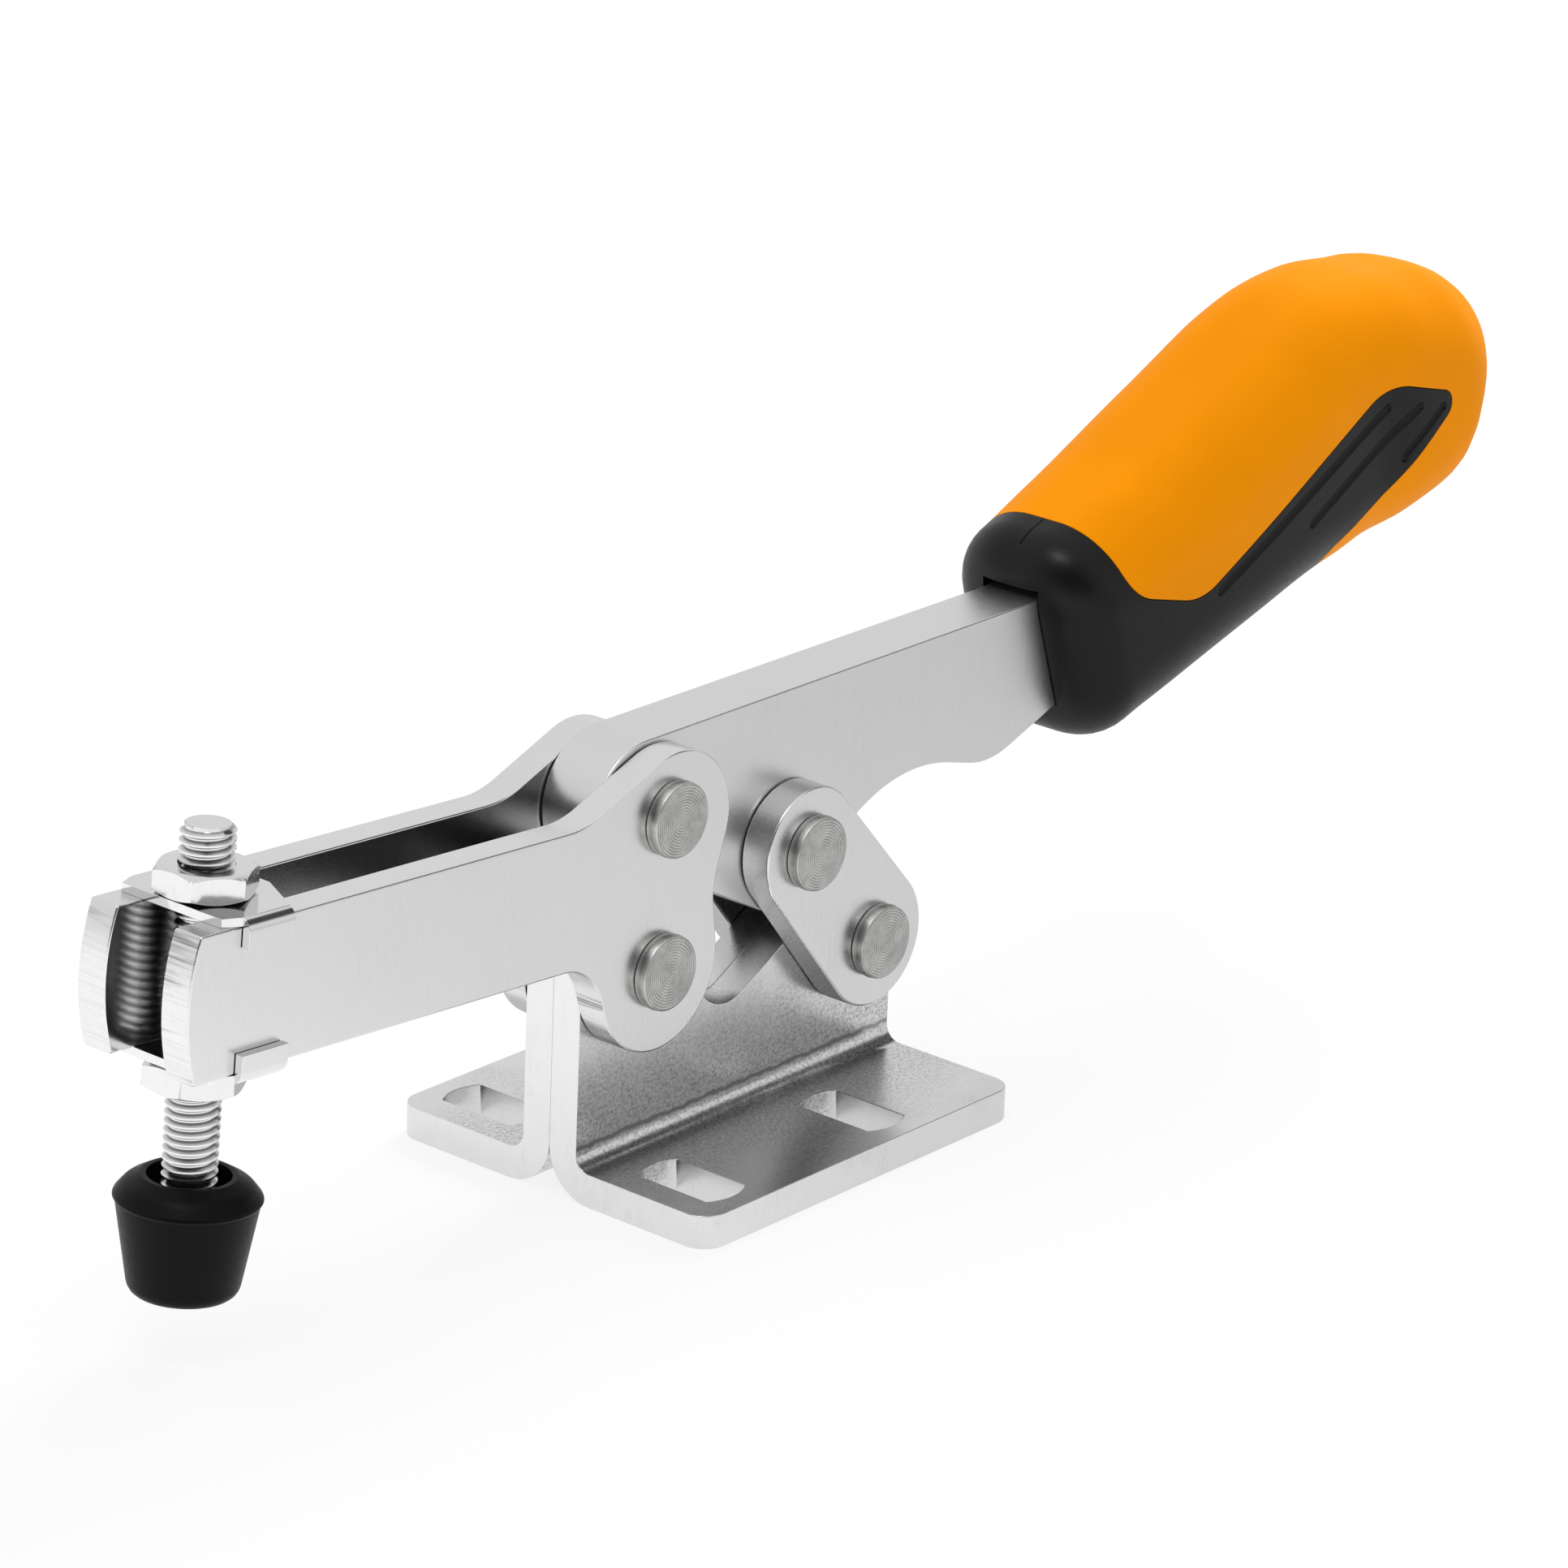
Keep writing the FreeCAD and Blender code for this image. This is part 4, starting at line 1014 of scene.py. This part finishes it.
class CLAMP_OT_handle(bpy.types.Operator):
    """Black core with grip grooves and orange grip of the handle"""

    bl_idname = "clamp.handle"
    bl_label = "Handle"

    def execute(self, context):
        black = moulded_finish("core_black", colours().black, 0.33, 1400.0, 0.04 * MM, 0.22)
        orange = moulded_finish("grip_orange", colours().orange, 0.50, 1600.0, 0.012 * MM, 0.03)
        core = handle_form("handle_core_moulded")
        cut(core, prism("dark_part", dark_outline(), DARK_CLEAR), "INTERSECT")
        cut(core, block("tang_room", *TANG_POCKET, HANDLE_FRAME), "DIFFERENCE")
        for start, end in GRIP_GROOVES:
            for side in (-1, 1):
                cut(core, groove_cutter(start, end, side), "DIFFERENCE")
        cut(core, block("parting", *PARTING_LINE, HANDLE_FRAME), "DIFFERENCE")
        smooth(core, 30.0)
        settle(core, "handle_core", black)
        grip = handle_form("handle_grip_moulded")
        cut(grip, prism("dark_part", dark_outline(SEAM), DARK_CLEAR), "DIFFERENCE")
        smooth(grip, 30.0)
        settle(grip, "handle_grip", orange)
        return {"FINISHED"}


def soft_lamp(name, place, aim, size, power, mirrored):
    """Square area lamp that points at a place, mirrored in the metal or not."""
    light = bpy.data.lights.new(name, "AREA")
    light.shape = "RECTANGLE"
    light.size = size
    light.size_y = size
    light.energy = power
    lamp = bpy.data.objects.new(name, light)
    bpy.context.scene.collection.objects.link(lamp)
    lamp.location = place
    way = Vector(aim) - Vector(place)
    lamp.rotation_euler = way.to_track_quat("-Z", "Y").to_euler()
    lamp.visible_glossy = mirrored


class Studio:
    """Short way to lay out the nodes of the floor and the world."""

    def __init__(self, tree):
        self.tree = tree
        self.coords = tree.nodes.new("ShaderNodeTexCoord")
        self.path = tree.nodes.new("ShaderNodeLightPath")

    def math(self, operation, first, second):
        """Math node on sockets or numbers."""
        node = self.tree.nodes.new("ShaderNodeMath")
        node.operation = operation
        for socket, value in zip(node.inputs, (first, second)):
            if isinstance(value, (int, float)):
                socket.default_value = value
            else:
                self.tree.links.new(value, socket)
        return node.outputs[0]

    def span(self, value, low, high, to_low, to_high, smoothed=False):
        """Value moved from one range to another."""
        node = self.tree.nodes.new("ShaderNodeMapRange")
        if smoothed:
            node.interpolation_type = "SMOOTHSTEP"
        node.inputs["From Min"].default_value = low
        node.inputs["From Max"].default_value = high
        node.inputs["To Min"].default_value = to_low
        node.inputs["To Max"].default_value = to_high
        self.tree.links.new(value, node.inputs["Value"])
        return node.outputs["Result"]

    def bounce(self, keep, first):
        """Share of light kept by each further bounce of a glossy ray after the first."""
        further = self.math("SUBTRACT", self.path.outputs["Ray Depth"], first)
        steep = self.math("POWER", self.math("MAXIMUM", further, 0.0), FURTHER_POWER)
        return self.math("POWER", keep, steep)

    def dark_patch(self, direction, wide, narrow, left):
        """Factor that darkens the room round a direction, down to what is left."""
        node = self.tree.nodes.new("ShaderNodeVectorMath")
        node.operation = "DOT_PRODUCT"
        node.inputs[1].default_value = Vector(direction).normalized()
        self.tree.links.new(self.coords.outputs["Generated"], node.inputs[0])
        return self.span(node.outputs["Value"], math.cos(math.radians(wide)),
                         math.cos(math.radians(narrow)), 1.0, left, True)


# Floor as the metal mirrors it: brightness on the way between two places on X, and its level.
FLOOR_GLOSS = [(0.0, 1.0), (0.32, 0.95), (0.58, 0.68), (1.0, 0.52)]
GLOSS_LEVEL = 1.22
GLOSS_FROM = -0.16
GLOSS_TO = 0.14
# Share of the light that is left after one further mirroring, and how steeply more take from it.
SECOND_LOOK = 0.90
FURTHER_POWER = 2.9
# Share of the floor's look that comes from real light and shadow.
SHADOW_SHARE = 0.16
FLOOR_SIZE = 6.0
# Room as the metal mirrors it, and as it lights the clamp.
ROOM = 0.80
AMBIENT = 0.74
# Darker parts of the room: direction, half angles where the dark starts and is full, share left.
DARK_PARTS = [
    ((-0.72, -0.60, 0.35), 50.0, 15.0, 0.12),
    ((0.72, -0.33, 0.58), 25.0, 10.0, 0.08),
]
# Lamps: name, place, aim, size, power, mirrored in the metal.
LAMPS = [
    ("key", (-0.30, -0.10, 0.80), (0.0, 0.0, 0.03), 0.25, 1.3, True),
    ("back", (0.55, 0.15, 0.45), (0.12, 0.0, 0.07), 0.3, 3.2, False),
]
# Camera: its lens in millimetres, its place, and its right, down and forward axes.
CAMERA_LENS = 150.004
CAMERA_PLACE = (-0.5237789, -0.4467165, 0.2992100)
CAMERA_RIGHT = (0.6470340, -0.7614815, 0.0386387)
CAMERA_DOWN = (-0.2416580, -0.2528741, -0.9368330)
CAMERA_AHEAD = (0.7231517, 0.5968255, -0.3476362)


class CLAMP_OT_stage(bpy.types.Operator):
    """Floor, world, lamps and camera"""

    bl_idname = "clamp.stage"
    bl_label = "Studio"

    def make_floor(self):
        """Pale floor that looks white and keeps the clamp's shadow."""
        bpy.ops.object.select_all(action="DESELECT")
        bpy.ops.mesh.primitive_plane_add(size=FLOOR_SIZE, location=(0.0, 0.0, 0.0))
        floor = bpy.context.active_object
        floor.name = "studio_floor"
        material = bpy.data.materials.new("studio_white")
        material.use_nodes = True
        tree = material.node_tree
        base = tree.nodes["Principled BSDF"]
        base.inputs["Base Color"].default_value = (0.86, 0.86, 0.86, 1.0)
        base.inputs["Roughness"].default_value = 0.9
        base.inputs["Specular IOR Level"].default_value = 0.0
        s = Studio(tree)
        split = tree.nodes.new("ShaderNodeSeparateXYZ")
        tree.links.new(s.coords.outputs["Object"], split.inputs["Vector"])
        ramp = tree.nodes.new("ShaderNodeValToRGB")
        element = ramp.color_ramp.elements
        while len(element) < len(FLOOR_GLOSS):
            element.new(0.5)
        for item, (position, value) in zip(element, FLOOR_GLOSS):
            item.position = position
            item.color = (value, value, value, 1.0)
        tree.links.new(s.span(split.outputs["X"], GLOSS_FROM, GLOSS_TO, 0.0, 1.0),
                       ramp.inputs["Fac"])
        glow = s.math("MULTIPLY", ramp.outputs["Color"], GLOSS_LEVEL)
        glow = s.math("MULTIPLY", glow, s.bounce(SECOND_LOOK, 1.0))
        light = tree.nodes.new("ShaderNodeEmission")
        seen = tree.nodes.new("ShaderNodeMix")
        tree.links.new(s.path.outputs["Is Camera Ray"], seen.inputs["Factor"])
        tree.links.new(glow, seen.inputs[2])
        seen.inputs[3].default_value = 1.0
        tree.links.new(seen.outputs[0], light.inputs["Strength"])
        shown = s.math("MAXIMUM", s.path.outputs["Is Camera Ray"],
                       s.path.outputs["Is Glossy Ray"])
        shown = s.math("MAXIMUM", shown, s.path.outputs["Is Transmission Ray"])
        mix = tree.nodes.new("ShaderNodeMixShader")
        tree.links.new(s.math("MULTIPLY", shown, 1.0 - SHADOW_SHARE), mix.inputs["Fac"])
        tree.links.new(base.outputs["BSDF"], mix.inputs[1])
        tree.links.new(light.outputs["Emission"], mix.inputs[2])
        tree.links.new(mix.outputs["Shader"], tree.nodes["Material Output"].inputs["Surface"])
        floor.data.materials.append(material)

    def make_world(self):
        """Even room light, with the darker parts of the room that the metal mirrors."""
        world = bpy.data.worlds.new("studio")
        bpy.context.scene.world = world
        world.use_nodes = True
        tree = world.node_tree
        s = Studio(tree)
        near, right = (s.dark_patch(*part) for part in DARK_PARTS)
        room = s.math("MULTIPLY", s.math("MULTIPLY", right, near), ROOM)
        room = s.math("MULTIPLY", room, s.bounce(SECOND_LOOK, 2.0))
        strength = tree.nodes.new("ShaderNodeMix")
        tree.links.new(s.path.outputs["Is Glossy Ray"], strength.inputs["Factor"])
        strength.inputs[2].default_value = AMBIENT
        tree.links.new(room, strength.inputs[3])
        level = s.math("MAXIMUM", strength.outputs[0], s.path.outputs["Is Camera Ray"])
        tree.links.new(level, tree.nodes["Background"].inputs["Strength"])
        tree.nodes["Background"].inputs["Color"].default_value = (1.0, 1.0, 1.0, 1.0)

    def make_camera(self):
        """Camera at the photograph's place and angle."""
        view = bpy.data.cameras.new("photograph")
        view.sensor_width = 36.0
        view.lens = CAMERA_LENS
        view.clip_start = 0.01
        view.clip_end = 20.0
        camera = bpy.data.objects.new("photograph", view)
        bpy.context.scene.collection.objects.link(camera)
        up, back = -Vector(CAMERA_DOWN), -Vector(CAMERA_AHEAD)
        turn = Matrix((Vector(CAMERA_RIGHT), up, back)).transposed().to_4x4()
        camera.matrix_world = Matrix.Translation(CAMERA_PLACE) @ turn
        bpy.context.scene.camera = camera

    def execute(self, context):
        context.scene.view_settings.view_transform = "Standard"
        self.make_floor()
        self.make_world()
        for lamp in LAMPS:
            soft_lamp(*lamp)
        self.make_camera()
        return {"FINISHED"}


class CLAMP_PT_panel(bpy.types.Panel):
    """Panel with the sizes, colours and build steps"""

    bl_label = "Toggle Clamp"
    bl_idname = "CLAMP_PT_panel"
    bl_space_type = "VIEW_3D"
    bl_region_type = "UI"
    bl_category = "Clamp"

    def draw(self, context):
        layout = self.layout
        for group in (context.scene.clamp_sizes, context.scene.clamp_colours):
            for name in group.__annotations__:
                layout.prop(group, name)
        for step in STEPS:
            layout.operator(step.bl_idname)


STEPS = (CLAMP_OT_base, CLAMP_OT_arm, CLAMP_OT_links, CLAMP_OT_lever, CLAMP_OT_rivets,
         CLAMP_OT_spindle, CLAMP_OT_handle, CLAMP_OT_stage)
CLASSES = (ClampSizes, ClampColours, *STEPS, CLAMP_PT_panel)


def register():
    """Register the classes and the scene's properties."""
    for item in CLASSES:
        bpy.utils.register_class(item)
    bpy.types.Scene.clamp_sizes = bpy.props.PointerProperty(type=ClampSizes)
    bpy.types.Scene.clamp_colours = bpy.props.PointerProperty(type=ClampColours)


def unregister():
    """Take the classes and properties out again."""
    del bpy.types.Scene.clamp_colours
    del bpy.types.Scene.clamp_sizes
    for item in reversed(CLASSES):
        bpy.utils.unregister_class(item)


def main():
    """Build every piece and the studio."""
    register()
    bpy.ops.clamp.base()
    bpy.ops.clamp.arm()
    bpy.ops.clamp.links()
    bpy.ops.clamp.lever()
    bpy.ops.clamp.rivets()
    bpy.ops.clamp.spindle()
    bpy.ops.clamp.handle()
    bpy.ops.clamp.stage()


if __name__ == "__main__":
    main()
